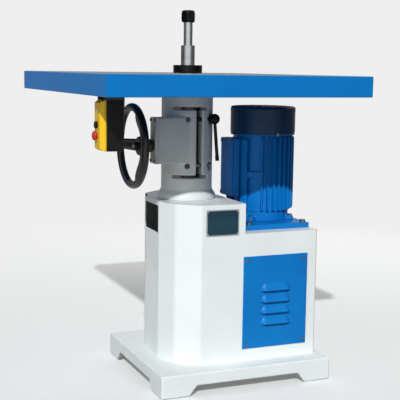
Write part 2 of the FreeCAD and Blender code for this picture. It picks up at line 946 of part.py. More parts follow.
for number, level in enumerate((level_of.lock, level_of.clamp)):
    clamp_holes.append(
        rod(
            f"clamp_hole_{number}",
            (-size.clamp_end - size.seat_gap, size.clamp_y, level),
            size.clamp_radius + size.running_fit,
            size.clamp_end + size.clamp_seat + size.overrun,
            "x",
        )
    )
    clamp_seats.append(
        rod(
            f"clamp_seat_{number}",
            (size.clamp_seat, size.clamp_y, level),
            size.clamp_seat_radius,
            size.clamp_seat_room,
            "x",
        )
    )
    barrel_holes.append(
        rod(
            f"barrel_hole_{number}",
            (size.barrel_x, slot_front, level),
            size.barrel_radius + size.running_fit,
            barrel_end - slot_front,
            "y",
        )
    )
    barrels.append(
        rod(
            f"barrel_{number}",
            (size.barrel_x, barrel_end - size.barrel_length, level),
            size.barrel_radius,
            size.barrel_length,
            "y",
        )
    )
column_cuts = [
    quill_bore,
    counterbore,
    clamp_slot,
    *slits,
    bush_bore,
    *clamp_holes,
    *clamp_seats,
    *barrel_holes,
    *column_holes,
    *table_holes,
    *boss_holes,
]
node("column", cut("column", column_solid, column_cuts))

# Clamp barrel nuts and the lower clamp bolt
node("clamp_barrel_nuts", cut("clamp_barrel_nuts", grouped("barrel_pair", barrels), clamp_holes))
clamp_head = (size.clamp_bolt_head_radius, size.clamp_bolt_head)
clamp_shank = (size.clamp_radius, size.clamp_seat + size.clamp_end)
clamp_spot = (size.clamp_seat, size.clamp_y, level_of.clamp)
clamp_bolt = fasteners("clamp_screw", [clamp_spot], "x", False, clamp_head, clamp_shank)[0]
node("clamp_bolt", grouped("clamp_bolt", clamp_bolt))

# Lock lever: a screw with a ball hub, and a bar set in the hub
lever_hub = doc.addObject("Part::Sphere", "lever_hub")
bind(lever_hub, "Radius", size.lever_ball_radius)
place(lever_hub, (size.lever_hub_x, size.clamp_y, level_of.lock))
lever_neck = rod(
    "lever_neck",
    (size.clamp_seat + size.seat_gap, size.clamp_y, level_of.lock),
    size.lever_neck_radius,
    size.lever_hub_x - size.clamp_seat - size.seat_gap,
    "x",
)
lever_screw = rod(
    "lever_screw",
    (-size.clamp_end, size.clamp_y, level_of.lock),
    size.clamp_radius,
    size.clamp_end + size.lever_hub_x,
    "x",
)
lean = math.radians(size.lever_lean.value)
HANGING = Rotation(Vector(0, 1, 0), 180 - size.lever_lean.value)


def lever_piece(name, distance, radius, length):
    piece = doc.addObject("Part::Cylinder", name)
    bind(piece, "Radius", radius)
    bind(piece, "Height", length)
    spot_x = size.lever_hub_x + distance * math.sin(lean)
    place(piece, (spot_x, size.clamp_y, level_of.lock - distance * math.cos(lean)), HANGING)
    return piece


lever_hole = lever_piece(
    "lever_hole", size.lever_socket, size.lever_bar + size.running_fit, size.lever_ball_radius
)
lever_head = joined("lever_head", [lever_hub, lever_neck, lever_screw])
node("lock_screw", cut("lock_screw", lever_head, [lever_hole]))
lever_bar = lever_piece("lever_bar", size.lever_socket, size.lever_bar, size.lever_length)
lever_tip = lever_piece(
    "lever_tip", size.lever_socket + size.lever_length - size.lever_tip, size.lever_tip_bar, size.lever_tip
)
node("lever_rod", joined("lever_rod", [lever_bar, lever_tip]))

# Boss cover and the two bushes of the pinion shaft
cover_slab = block(
    "cover_slab",
    (cover_face, -size.boss_front, level_of.boss_bottom),
    (-size.boss_left, -size.boss_back, level_of.boss_top),
)
node("boss_cover", cut("boss_cover", cover_slab, [bush_bore, *boss_holes]))
outer_bush = rod(
    "outer_bush", (cover_face, size.pinion_y, level_of.pinion), size.bush_radius, size.bush_length, "x"
)
bush_flange = rod(
    "bush_flange",
    (cover_face - size.bush_flange, size.pinion_y, level_of.pinion),
    size.bush_flange_radius,
    size.bush_flange,
    "x",
)
inner_bush = rod(
    "inner_bush",
    (-size.inner_bush_end - size.bush_length, size.pinion_y, level_of.pinion),
    size.bush_radius,
    size.bush_length,
    "x",
)
shaft_room = rod(
    "shaft_room",
    (cover_face - size.bush_flange - size.overrun, size.pinion_y, level_of.pinion),
    size.shaft_radius + size.running_fit,
    size.boss_left + size.boss_cover + size.overrun * 2,
    "x",
)
flanged_bush = joined("flanged_bush", [outer_bush, bush_flange])
bushes = [
    cut("flanged_bush_bored", flanged_bush, [shaft_room]),
    cut("inner_bush_bored", inner_bush, [shaft_room]),
]
node("pinion_bushes", grouped("pinion_bushes", bushes))

# Pinion shaft: the teeth are cut on its inner end, the handwheel sits on its outer end
pitch_radius = size.gear_module * PINION_TEETH / 2
addendum = size.gear_module * ADDENDUM_SHARE
dedendum = size.gear_module * DEDENDUM_SHARE
tooth_pitch = size.gear_module * math.pi


def involute(angle):
    return math.tan(angle) - angle


def pinion_shape():
    pitch = pitch_radius.value
    base = pitch * math.cos(math.radians(PRESSURE_ANGLE))
    tip = pitch + addendum.value
    root = pitch - dedendum.value
    half_tooth = (tooth_pitch.value / 2 - size.gear_backlash.value) / (2 * pitch)
    half_base = half_tooth + involute(math.radians(PRESSURE_ANGLE))
    flank = [(root, half_base)]
    for step in range(FLANK_POINTS + 1):
        radius = base + (tip - base) * step / FLANK_POINTS
        flank.append((radius, half_base - involute(math.acos(min(base / radius, 1)))))
    points = []
    for tooth in range(PINION_TEETH):
        centre = 2 * math.pi * tooth / PINION_TEETH
        sides = [(radius, centre - half) for radius, half in flank]
        sides += [(radius, centre + half) for radius, half in reversed(flank)]
        points += [Vector(0, radius * math.cos(angle), radius * math.sin(angle)) for radius, angle in sides]
    face = Part.Face(Part.makePolygon(points + points[:1]))
    return face.extrude(Vector(size.pinion_width.value, 0, 0))


pinion_teeth = doc.addObject("Part::Feature", "pinion_teeth")
pinion_teeth.Shape = pinion_shape()
place(pinion_teeth, (pinion_end - size.pinion_width, size.pinion_y, level_of.pinion))
shaft_end = size.hub_outer + size.wheel_stub
shaft_bar = turned(
    "shaft_bar",
    [
        (0, 0),
        (size.shaft_thread_radius, 0),
        (size.shaft_thread_radius, size.wheel_stub),
        (size.shaft_seat_radius, size.wheel_stub),
        (size.shaft_seat_radius, shaft_end - size.hub_inner),
        (size.shaft_radius, shaft_end - size.hub_inner),
        (size.shaft_radius, shaft_end + pinion_end),
        (0, shaft_end + pinion_end),
    ],
    (-shaft_end, size.pinion_y, level_of.pinion),
    "x",
)
node("pinion_shaft", joined("pinion_shaft", [shaft_bar, pinion_teeth]))

# Handwheel: a dished wheel with three leaning spokes, and its nut
wheel_rim = doc.addObject("Part::Torus", "wheel_rim")
bind(wheel_rim, "Radius1", size.wheel_rim_radius)
bind(wheel_rim, "Radius2", size.wheel_rim_bar)
place(wheel_rim, (-size.wheel_rim_x, size.pinion_y, level_of.pinion), TURNS["x"])
wheel_hub = turned(
    "wheel_hub",
    [
        (0, 0),
        (size.hub_outer_radius, 0),
        (size.hub_outer_radius, size.hub_outer - size.hub_waist),
        (size.hub_inner_radius, size.hub_outer - size.hub_inner),
        (0, size.hub_outer - size.hub_inner),
    ],
    (-size.hub_outer, size.pinion_y, level_of.pinion),
    "x",
)
spoke_rise = size.wheel_rim_x - size.spoke_root_x
spoke_run = size.wheel_rim_radius - size.spoke_root_radius
spoke_lean = math.atan2(spoke_rise.value, spoke_run.value)
spokes = []
for angle in SPOKE_ANGLES:
    radial = Vector(0, math.cos(math.radians(angle)), math.sin(math.radians(angle)))
    direction = radial * math.cos(spoke_lean) - Vector(math.sin(spoke_lean), 0, 0)
    spoke = doc.addObject("Part::Cylinder", f"spoke_{angle}")
    bind(spoke, "Radius", size.spoke_bar)
    bind(spoke, "Height", spoke_run / math.cos(spoke_lean))
    root_y, root_z = around(size.spoke_root_radius, angle, size.pinion_y, level_of.pinion)
    place(spoke, (-size.spoke_root_x, root_y, root_z), Rotation(Vector(0, 0, 1), direction))
    spokes.append(spoke)
wheel_bore = rod(
    "wheel_bore",
    (-size.hub_outer - size.overrun, size.pinion_y, level_of.pinion),
    size.shaft_seat_radius + size.running_fit,
    size.hub_outer - size.hub_inner + size.overrun * 2,
    "x",
)
wheel_solid = joined("wheel_solid", [wheel_rim, wheel_hub, *spokes])
node("handwheel", cut("handwheel", wheel_solid, [wheel_bore]))
nut_start = (-size.hub_outer - size.wheel_nut, size.pinion_y, level_of.pinion)
wheel_nut = hexagon("wheel_nut", nut_start, size.wheel_nut_flats, size.wheel_nut, "x")
nut_hole = rod("wheel_nut_hole", nut_start, size.shaft_thread_radius + size.running_fit, size.wheel_nut, "x")
node("handwheel_nut", cut("handwheel_nut", wheel_nut, [nut_hole]))

# Quill: a sleeve that slides in the column, bored for two bearings, slotted for the rack
bearing_seat = size.bearing_radius + size.running_fit
lower_shoulder = level_of.quill_bottom + size.cap_thickness + size.bearing_width
upper_shoulder = level_of.quill_top - size.cap_thickness - size.bearing_width
quill_sleeve = turned(
    "quill_sleeve",
    [
        (bearing_seat, level_of.quill_bottom),
        (size.quill_radius, level_of.quill_bottom),
        (size.quill_radius, level_of.quill_top),
        (bearing_seat, level_of.quill_top),
        (bearing_seat, upper_shoulder),
        (size.quill_bore_radius, upper_shoulder),
        (size.quill_bore_radius, lower_shoulder),
        (bearing_seat, lower_shoulder),
    ],
)
rack_left = size.pinion_x - size.rack_width / 2
rack_right = size.pinion_x + size.rack_width / 2
rack_low = level_of.pinion - tooth_pitch * RACK_TEETH_BELOW
rack_high = level_of.pinion + tooth_pitch * RACK_TEETH_ABOVE
rack_slot = block(
    "rack_slot",
    (rack_left - size.running_fit, -size.quill_radius - size.overrun, rack_low - size.rack_slot_end),
    (rack_right + size.running_fit, -size.rack_back, rack_high + size.rack_slot_end),
)
node("quill", cut("quill", quill_sleeve, [rack_slot]))


# Rack: straight teeth that mesh with the pinion, seated in the quill's slot
def rack_shape():
    pitch_plane = size.pinion_y.value + pitch_radius.value
    tip = pitch_plane - addendum.value
    root = pitch_plane + dedendum.value
    slope = math.tan(math.radians(PRESSURE_ANGLE))
    half = (tooth_pitch.value / 2 - size.gear_backlash.value) / 2
    half_tip = half - addendum.value * slope
    half_root = half + dedendum.value * slope
    low = -RACK_TEETH_BELOW * tooth_pitch.value
    high = RACK_TEETH_ABOVE * tooth_pitch.value
    points = [Vector(0, -size.rack_back.value, low), Vector(0, root, low)]
    for tooth in range(-RACK_TEETH_BELOW, RACK_TEETH_ABOVE):
        centre = tooth_pitch.value * tooth + tooth_pitch.value / 2
        points.append(Vector(0, root, centre - half_root))
        points.append(Vector(0, tip, centre - half_tip))
        points.append(Vector(0, tip, centre + half_tip))
        points.append(Vector(0, root, centre + half_root))
    points += [Vector(0, root, high), Vector(0, -size.rack_back.value, high)]
    face = Part.Face(Part.makePolygon(points + points[:1]))
    return face.extrude(Vector(size.rack_width.value, 0, 0))


rack = doc.addObject("Part::Feature", "rack")
rack.Shape = rack_shape()
place(rack, (rack_left, 0, level_of.pinion))
node("rack", rack)


# Ball bearings: a pair of rings with a race each, and the balls between them
def bearing(name, x, bottom):
    top = bottom + size.bearing_width
    middle = bottom + size.bearing_width / 2
    race_low = middle - size.race_half
    race_high = middle + size.race_half
    ball_circle = (size.bearing_inner_radius + size.bearing_race_radius) / 2
    race_depth = size.ball_radius + size.seat_gap
    inner_bore = size.bearing_bore_radius + size.running_fit
    rings = []
    for ring_name, plain, faced, raced in (
        ("outer", size.bearing_radius, size.bearing_race_radius, ball_circle + race_depth),
        ("inner", inner_bore, size.bearing_inner_radius, ball_circle - race_depth),
    ):
        corners = [
            (plain, bottom),
            (faced, bottom),
            (faced, race_low),
            (raced, race_low),
            (raced, race_high),
            (faced, race_high),
            (faced, top),
            (plain, top),
        ]
        rings.append(turned(f"{name}_{ring_name}", corners, (x, 0, 0)))
    balls = []
    for number in range(BALLS):
        ball = doc.addObject("Part::Sphere", f"{name}_ball_{number}")
        bind(ball, "Radius", size.ball_radius)
        place(ball, (*around(ball_circle, 360 * number / BALLS, x), middle))
        balls.append(ball)
    return [rings[0], *balls], [rings[1]]


lower_outer, lower_inner = bearing("quill_lower", 0, lower_shoulder - size.bearing_width)
upper_outer, upper_inner = bearing("quill_upper", 0, upper_shoulder)
node("quill_bearing_outer_rings", grouped("quill_bearing_outer_rings", lower_outer + upper_outer))
node("quill_bearing_inner_rings", grouped("quill_bearing_inner_rings", lower_inner + upper_inner))


# Bearing caps at both ends of the quill
def ring(name, small, large, bottom, top):
    return turned(name, [(small, bottom), (large, bottom), (large, top), (small, top)])


lower_cap_top = level_of.quill_bottom + size.cap_thickness
upper_cap_bottom = level_of.quill_top - size.cap_thickness
upper_cap_bore = size.spindle_neck_radius + size.cap_gap
lower_cap_bore = size.spacer_radius + size.cap_gap
caps = [
    ring("lower_cap", lower_cap_bore, size.bearing_radius, level_of.quill_bottom, lower_cap_top),
    ring("upper_cap", upper_cap_bore, size.bearing_radius, upper_cap_bottom, level_of.quill_top),
]
node("quill_caps", grouped("quill_caps", caps))

# Spindle: one turned shaft from the drum pulley's thread up to the arbor
flange_low = level_of.quill_top + size.spindle_flange_gap
spindle = turned(
    "spindle",
    [
        (0, level_of.spindle_bottom),
        (size.spindle_thread_radius, level_of.spindle_bottom),
        (size.spindle_thread_radius, level_of.drum_bottom),
        (size.drum_seat_radius, level_of.drum_bottom),
        (size.drum_seat_radius, level_of.drum_top),
        (size.bearing_bore_radius, level_of.drum_top),
        (size.bearing_bore_radius, upper_cap_bottom),
        (size.spindle_neck_radius, upper_cap_bottom),
        (size.spindle_neck_radius, flange_low),
        (size.spindle_flange_radius, flange_low),
        (size.spindle_flange_radius, level_of.collar_bottom),
        (size.shank_radius, level_of.collar_bottom),
        (size.shank_radius, level_of.shank_top),
        (size.arbor_radius, level_of.shank_top),
        (size.arbor_radius, level_of.arbor_nut_bottom),
        (size.arbor_thread_radius, level_of.arbor_nut_bottom),
        (size.arbor_thread_radius, level_of.arbor_top),
        (0, level_of.arbor_top),
    ],
)
node("spindle", spindle)

# Spacers that hold the inner rings apart, and the black collar at the table
spacer_bore = size.bearing_bore_radius + size.running_fit
spacers = [
    ring("lower_spacer", spacer_bore, size.spacer_radius, level_of.drum_top, lower_cap_top),
    ring("long_spacer", spacer_bore, size.spacer_radius, lower_shoulder, upper_shoulder),
]
node("spindle_spacers", grouped("spindle_spacers", spacers))
collar_bore = size.shank_radius + size.running_fit
collar_top = level_of.collar_bottom + size.collar_height
collar = ring("spindle_collar", collar_bore, size.collar_radius, level_of.collar_bottom, collar_top)
node("spindle_collar", collar)

# Arbor nut: a hexagon on a round washer face
nut_face = rod(
    "nut_face", (0, 0, level_of.arbor_nut_bottom), size.arbor_nut_washer_radius, size.arbor_nut_washer
)
nut_six = hexagon(
    "nut_six",
    (0, 0, level_of.arbor_nut_bottom + size.arbor_nut_washer),
    size.arbor_nut_flats,
    level_of.arbor_nut_top - level_of.arbor_nut_bottom - size.arbor_nut_washer,
)
nut_thread = rod(
    "nut_thread",
    (0, 0, level_of.arbor_nut_bottom - size.overrun),
    size.arbor_thread_radius + size.running_fit,
    level_of.arbor_nut_top - level_of.arbor_nut_bottom + size.overrun * 2,
)
node("arbor_nut", cut("arbor_nut", joined("nut_solid", [nut_face, nut_six]), [nut_thread]))

# Drum pulley: long enough for the belt to stay put while the spindle rises and falls
drum_bore = size.drum_seat_radius + size.running_fit
drum_hollow = size.drum_radius - size.drum_rim
drum_pulley = turned(
    "drum_pulley",
    [
        (drum_bore, level_of.drum_bottom),
        (size.drum_hub_radius, level_of.drum_bottom),
        (size.drum_hub_radius, level_of.drum_bottom + size.drum_recess),
        (drum_hollow, level_of.drum_bottom + size.drum_recess),
        (drum_hollow, level_of.drum_bottom),
        (size.drum_radius, level_of.drum_bottom),
        (size.drum_radius, level_of.drum_top),
        (drum_bore, level_of.drum_top),
    ],
)
node("drum_pulley", drum_pulley)
drum_nut_start = (0, 0, level_of.drum_bottom - size.drum_nut)
drum_nut = hexagon("drum_nut_blank", drum_nut_start, size.drum_nut_flats, size.drum_nut)
drum_thread = rod(
    "drum_thread", drum_nut_start, size.spindle_thread_radius + size.running_fit, size.drum_nut
)
node("drum_nut", cut("drum_nut", drum_nut, [drum_thread]))


# Drive belt: a flat loop round the drum and the motor pulley
def loop(offset):
    small = size.drum_radius.value + offset
    large = size.motor_pulley_radius.value + offset
    centre = size.motor_x.value
    sine = (large - small) / centre
    cosine = math.sqrt(1 - sine * sine)
    small_top = Vector(-small * sine, small * cosine, 0)
    small_low = Vector(-small * sine, -small * cosine, 0)
    large_top = Vector(centre - large * sine, large * cosine, 0)
    large_low = Vector(centre - large * sine, -large * cosine, 0)
    edges = [
        Part.Arc(small_top, Vector(-small, 0, 0), small_low).toShape(),
        Part.LineSegment(small_low, large_low).toShape(),
        Part.Arc(large_low, Vector(centre + large, 0, 0), large_top).toShape(),
        Part.LineSegment(large_top, small_top).toShape(),
    ]
    return Part.Face(Part.Wire(edges))


belt_gap = size.seat_gap.value
belt_face = loop(belt_gap + size.belt_thickness.value).cut(loop(belt_gap))
drive_belt = doc.addObject("Part::Feature", "drive_belt")
drive_belt.Shape = belt_face.extrude(Vector(0, 0, size.belt_width.value))
place(drive_belt, (0, 0, level_of.belt_bottom))
node("drive_belt", drive_belt)

# Motor pulley with its end washer and bolt
pulley_top = level_of.motor_pulley_bottom + size.motor_pulley_width
pulley_middle = level_of.motor_pulley_bottom + size.motor_pulley_width / 2
web_low = pulley_middle - size.motor_pulley_web / 2
web_high = pulley_middle + size.motor_pulley_web / 2
pulley_bore = size.rotor_shaft_radius + size.running_fit
pulley_rim = size.motor_pulley_radius - size.motor_pulley_rim
motor_pulley = turned(
    "motor_pulley",
    [
        (pulley_bore, level_of.motor_pulley_bottom),
        (size.motor_pulley_hub_radius, level_of.motor_pulley_bottom),
        (size.motor_pulley_hub_radius, web_low),
        (pulley_rim, web_low),
        (pulley_rim, level_of.motor_pulley_bottom),
        (size.motor_pulley_radius, level_of.motor_pulley_bottom),
        (size.motor_pulley_radius, pulley_top),
        (pulley_rim, pulley_top),
        (pulley_rim, web_high),
        (size.motor_pulley_hub_radius, web_high),
        (size.motor_pulley_hub_radius, pulley_top),
        (pulley_bore, pulley_top),
    ],
    (size.motor_x, 0, 0),
)
node("motor_pulley", motor_pulley)
washer_low = level_of.motor_pulley_bottom - size.pulley_washer
end_washer = rod("end_washer", (size.motor_x, 0, washer_low), size.pulley_washer_radius, size.pulley_washer)
end_head = (size.pulley_bolt_head_radius, size.pulley_bolt_head)
end_shank = (size.pulley_bolt_radius, size.pulley_bolt_shank)
end_bolts, end_holes = fasteners(
    "end_bolt", [(size.motor_x, 0, washer_low)], "z", True, end_head, end_shank
)
node("motor_pulley_bolt", joined("motor_pulley_bolt", [end_washer, *end_bolts]))

# Lower end shield: spigot in the motor plate, bearing seat, lip in the frame and four lugs
lip_outer = size.motor_bore_radius - size.running_fit
spigot_low = motor_plate_top - size.spigot_depth
lower_bearing_top = level_of.lower_bearing_bottom + size.bearing_width
lower_floor = motor_plate_top + size.shield_floor
lower_round = turned(
    "lower_round",
    [
        (size.shaft_hole_radius, spigot_low),
        (size.spigot_radius, spigot_low),
        (size.spigot_radius, motor_plate_top),
        (size.lower_shield_radius, motor_plate_top),
        (size.lower_shield_radius, level_of.lower_shield_top),
        (lip_outer, level_of.lower_shield_top),
        (lip_outer, level_of.lower_shield_top + size.shield_lip),
        (size.shield_lip_radius, level_of.lower_shield_top + size.shield_lip),
        (size.shield_lip_radius, lower_floor),
        (size.bearing_hub_radius, lower_floor),
        (size.bearing_hub_radius, lower_bearing_top),
        (bearing_seat, lower_bearing_top),
        (bearing_seat, level_of.lower_bearing_bottom),
        (size.shaft_hole_radius, level_of.lower_bearing_bottom),
    ],
    (size.motor_x, 0, 0),
)
lugs = []
for number, angle in enumerate(QUARTERS):
    lug_spot = (*around(size.lug_circle_radius, angle, size.motor_x), motor_plate_top)
    lug_eye = rod(f"lug_eye_{number}", lug_spot, size.lug_radius, size.lug_height)
    lug_web = ray(
        f"lug_web_{number}",
        angle,
        size.lower_shield_radius - size.overrun,
        size.lug_circle_radius,
        size.lug_radius * 2,
        motor_plate_top,
        lug_top,
    )
    lugs += [lug_eye, lug_web]
lower_solid = joined("lower_solid", [lower_round, *lugs])
node("motor_lower_shield", cut("motor_lower_shield", lower_solid, lug_holes))

# Motor frame: a finned shell with a saddle for the terminal box, where the fins are left out
shell_rod = rod(
    "shell_rod",
    (size.motor_x, 0, level_of.lower_shield_top),
    size.motor_shell_radius,
    level_of.motor_frame_top - level_of.lower_shield_top,
)
fins = [
    ray(
        f"fin_{number}",
        360 * number / FINS,
        size.motor_shell_radius - size.fin_root,
        size.motor_fin_radius,
        size.motor_fin,
        level_of.lower_shield_top,
        level_of.motor_frame_top,
    )
    for number in range(FINS)
    if abs(number - FINS / 2) > SADDLE_FINS
]
box_left = size.terminal_face + size.terminal_lid
box_right = box_left + size.terminal_depth
saddle = block(
    "saddle",
    (box_right, -size.saddle_width / 2, level_of.terminal_bottom + size.saddle_inset),
    (size.motor_x - size.saddle_reach, size.saddle_width / 2, level_of.terminal_top - size.saddle_inset),
)
frame_bore = rod(
    "frame_bore",
    (size.motor_x, 0, level_of.lower_shield_top - size.overrun),
    size.motor_bore_radius,
    level_of.motor_frame_top - level_of.lower_shield_top + size.overrun * 2,
)
frame_solid = joined("frame_solid", [shell_rod, *fins, saddle])
node("motor_frame", cut("motor_frame", frame_solid, [frame_bore]))

# Stator: core pressed in the frame, with a winding head at each end
stator = turned(
    "stator",
    [
        (size.stator_bore_radius, level_of.core_bottom),
        (size.winding_inner_radius, level_of.core_bottom),
        (size.winding_inner_radius, level_of.core_bottom - size.winding_height),
        (size.winding_radius, level_of.core_bottom - size.winding_height),
        (size.winding_radius, level_of.core_bottom),
        (size.motor_bore_radius, level_of.core_bottom),
        (size.motor_bore_radius, level_of.core_top),
        (size.winding_radius, level_of.core_top),
        (size.winding_radius, level_of.core_top + size.winding_height),
        (size.winding_inner_radius, level_of.core_top + size.winding_height),
        (size.winding_inner_radius, level_of.core_top),
        (size.stator_bore_radius, level_of.core_top),
    ],
    (size.motor_x, 0, 0),
)
node("stator", stator)

# Rotor: shaft with its core, shouldered for the pulley, both bearings and the fan
upper_bearing_top = level_of.upper_bearing_bottom + size.bearing_width
rotor_round = turned(
    "rotor_round",
    [
        (0, level_of.rotor_shaft_bottom),
        (size.rotor_shaft_radius, level_of.rotor_shaft_bottom),
        (size.rotor_shaft_radius, pulley_top),
        (size.bearing_bore_radius, pulley_top),
        (size.bearing_bore_radius, lower_bearing_top),
        (size.rotor_body_radius, lower_bearing_top),
        (size.rotor_body_radius, level_of.core_bottom),
        (size.rotor_radius, level_of.core_bottom),
        (size.rotor_radius, level_of.core_top),
        (size.rotor_body_radius, level_of.core_top),
        (size.rotor_body_radius, level_of.upper_bearing_bottom),
        (size.bearing_bore_radius, level_of.upper_bearing_bottom),
        (size.bearing_bore_radius, upper_bearing_top),
        (size.rotor_tail_radius, upper_bearing_top),
        (size.rotor_tail_radius, level_of.fan_bottom),
        (size.fan_seat_radius, level_of.fan_bottom),
        (size.fan_seat_radius, level_of.rotor_shaft_top),
        (0, level_of.rotor_shaft_top),
    ],
    (size.motor_x, 0, 0),
)
node("motor_rotor", cut("motor_rotor", rotor_round, end_holes))
front_outer, front_inner = bearing("motor_lower", size.motor_x, level_of.lower_bearing_bottom)
tail_outer, tail_inner = bearing("motor_upper", size.motor_x, level_of.upper_bearing_bottom)
node("motor_bearing_outer_rings", grouped("motor_bearing_outer_rings", front_outer + tail_outer))
node("motor_bearing_inner_rings", grouped("motor_bearing_inner_rings", front_inner + tail_inner))

# Upper end shield: closes the frame, its rim carries the fan cover
cover_inner = size.fan_cover_radius - size.fan_cover_sheet
rim_top = level_of.motor_frame_top + size.upper_shield_rim
upper_round = turned(
    "upper_round",
    [
        (size.shield_lip_radius, level_of.motor_frame_top - size.shield_lip),
        (lip_outer, level_of.motor_frame_top - size.shield_lip),
        (lip_outer, level_of.motor_frame_top),
        (cover_inner, level_of.motor_frame_top),
        (cover_inner, rim_top),
        (size.bearing_hub_radius, rim_top),
        (size.bearing_hub_radius, level_of.upper_shield_top),
        (size.tail_hole_radius, level_of.upper_shield_top),
        (size.tail_hole_radius, upper_bearing_top),
        (bearing_seat, upper_bearing_top),
        (bearing_seat, level_of.upper_bearing_bottom),
        (size.shield_lip_radius, level_of.upper_bearing_bottom),
    ],
    (size.motor_x, 0, 0),
)
screw_level = level_of.motor_frame_top + size.cover_screw_rise
cover_far = size.motor_x + size.fan_cover_radius
cover_near = size.motor_x - size.fan_cover_radius
cover_screws = []
cover_holes = []
for name, seat, axis, forward in (
    ("cover_screw_right", (cover_far, 0, screw_level), "x", False),
    ("cover_screw_left", (cover_near, 0, screw_level), "x", True),
    ("cover_screw_back", (size.motor_x, size.fan_cover_radius, screw_level), "y", False),
    ("cover_screw_front", (size.motor_x, -size.fan_cover_radius, screw_level), "y", True),
):
    screws, holes = fasteners(name, [seat], axis, forward, small_head, small_shank)
    cover_screws += screws
    cover_holes += holes
node("motor_upper_shield", cut("motor_upper_shield", upper_round, cover_holes))

# Cooling fan on the rotor's tail
fan_top = level_of.fan_bottom + size.fan_height
fan_hub = rod("fan_hub", (size.motor_x, 0, level_of.fan_bottom), size.fan_hub_radius, size.fan_height)
fan_disc = rod("fan_disc", (size.motor_x, 0, level_of.fan_bottom), size.fan_radius, size.fan_disc)
fan_blades = [
    ray(
        f"fan_blade_{number}",
        360 * number / FAN_BLADES,
        size.fan_hub_radius - size.fan_blade,
        size.fan_radius - size.fan_blade,
        size.fan_blade,
        level_of.fan_bottom,
        fan_top,
    )
    for number in range(FAN_BLADES)
]
fan_bore = rod(
    "fan_bore",
    (size.motor_x, 0, level_of.fan_bottom - size.overrun),
    size.fan_seat_radius + size.running_fit,
    size.fan_height + size.overrun * 2,
)
node("cooling_fan", cut("cooling_fan", joined("fan_solid", [fan_hub, fan_disc, *fan_blades]), [fan_bore]))

# Fan cover: a spun cap with a rounded edge and radial vents in its top
bend = size.fan_cover_round
inner_bend = size.fan_cover_round - size.fan_cover_sheet
BEND_SHARE = 1 - math.cos(math.radians(45))
shell_top = level_of.fan_cover_top - size.fan_cover_sheet
cover_round = turned(
    "cover_round",
    [
        (cover_inner, level_of.motor_frame_top),
        (size.fan_cover_radius, level_of.motor_frame_top),
        (size.fan_cover_radius, level_of.fan_cover_top - bend),
        (size.fan_cover_radius - bend * BEND_SHARE, level_of.fan_cover_top - bend * BEND_SHARE),
        (size.fan_cover_radius - bend, level_of.fan_cover_top),
        (0, level_of.fan_cover_top),
        (0, shell_top),
        (cover_inner - inner_bend, shell_top),
        (cover_inner - inner_bend * BEND_SHARE, shell_top - inner_bend * BEND_SHARE),
        (cover_inner, shell_top - inner_bend),
    ],
    (size.motor_x, 0, 0),
)
vents = [
    ray(
        f"vent_{number}",
        360 * number / VENTS,
        size.vent_inner_radius,
        size.vent_outer_radius,
        size.vent_width,
        shell_top - size.overrun,
        level_of.fan_cover_top + size.overrun,
    )
    for number in range(VENTS)
]
node("fan_cover", cut("fan_cover", cover_round, [*vents, *cover_holes]))

# Terminal box with its lid and the cable gland
terminal_half = size.terminal_width / 2
box_blank = block(
    "box_blank",
    (box_left, -terminal_half, level_of.terminal_bottom),
    (box_right, terminal_half, level_of.terminal_top),
)
box_floor = box_right - size.terminal_wall
wide_room = block(
    "wide_room",
    (
        box_left - size.overrun,
        size.terminal_wall - terminal_half,
        level_of.terminal_bottom + size.terminal_wall + size.terminal_post,
    ),
    (
        box_floor,
        terminal_half - size.terminal_wall,
        level_of.terminal_top - size.terminal_wall - size.terminal_post,
    ),
)
tall_room = block(
    "tall_room",
    (
        box_left - size.overrun,
        size.terminal_wall + size.terminal_post - terminal_half,
        level_of.terminal_bottom + size.terminal_wall,
    ),
    (
        box_floor,
        terminal_half - size.terminal_wall - size.terminal_post,
        level_of.terminal_top - size.terminal_wall,
    ),
)
lid_seats = [
    (size.terminal_face, y, z)
    for y in (size.screw_inset - terminal_half, terminal_half - size.screw_inset)
    for z in (level_of.terminal_bottom + size.screw_inset, level_of.terminal_top - size.screw_inset)
]
lid_screws, lid_holes = fasteners("lid_screw", lid_seats, "x", True, small_head, small_shank)
gland_x = (box_left + box_floor) / 2
gland_hex_low = level_of.terminal_bottom - size.gland_hex
gland_low = gland_hex_low - size.gland_length
gland_hole = rod(
    "gland_hole",
    (gland_x, 0, level_of.terminal_bottom - size.overrun),
    size.gland_thread_radius + size.running_fit,
    size.terminal_wall + size.overrun * 2,
)
node("terminal_box", cut("terminal_box", box_blank, [wide_room, tall_room, gland_hole, *lid_holes]))
lid_blank = block(
    "lid_blank",
    (size.terminal_face, -terminal_half, level_of.terminal_bottom),
    (box_left, terminal_half, level_of.terminal_top),
)
node("terminal_box_lid", cut("terminal_box_lid", lid_blank, lid_holes))
gland_nose = rod("gland_nose", (gland_x, 0, gland_low), size.gland_radius, size.gland_length)
gland_six = hexagon("gland_six", (gland_x, 0, gland_hex_low), size.gland_flats, size.gland_hex)
gland_thread = rod(
    "gland_thread",
    (gland_x, 0, level_of.terminal_bottom),
    size.gland_thread_radius,
    size.terminal_wall * 2,
)
gland_bore = rod(
    "gland_bore",
    (gland_x, 0, gland_low - size.overrun),
    size.gland_bore_radius,
    size.gland_length + size.gland_hex + size.terminal_wall * 2 + size.overrun * 2,
)
gland_solid = joined("gland_solid", [gland_nose, gland_six, gland_thread])
node("cable_gland", cut("cable_gland", gland_solid, [gland_bore]))
node("cover_screws", grouped("cover_screws", [*boss_screws, *cover_screws, *lid_screws]))

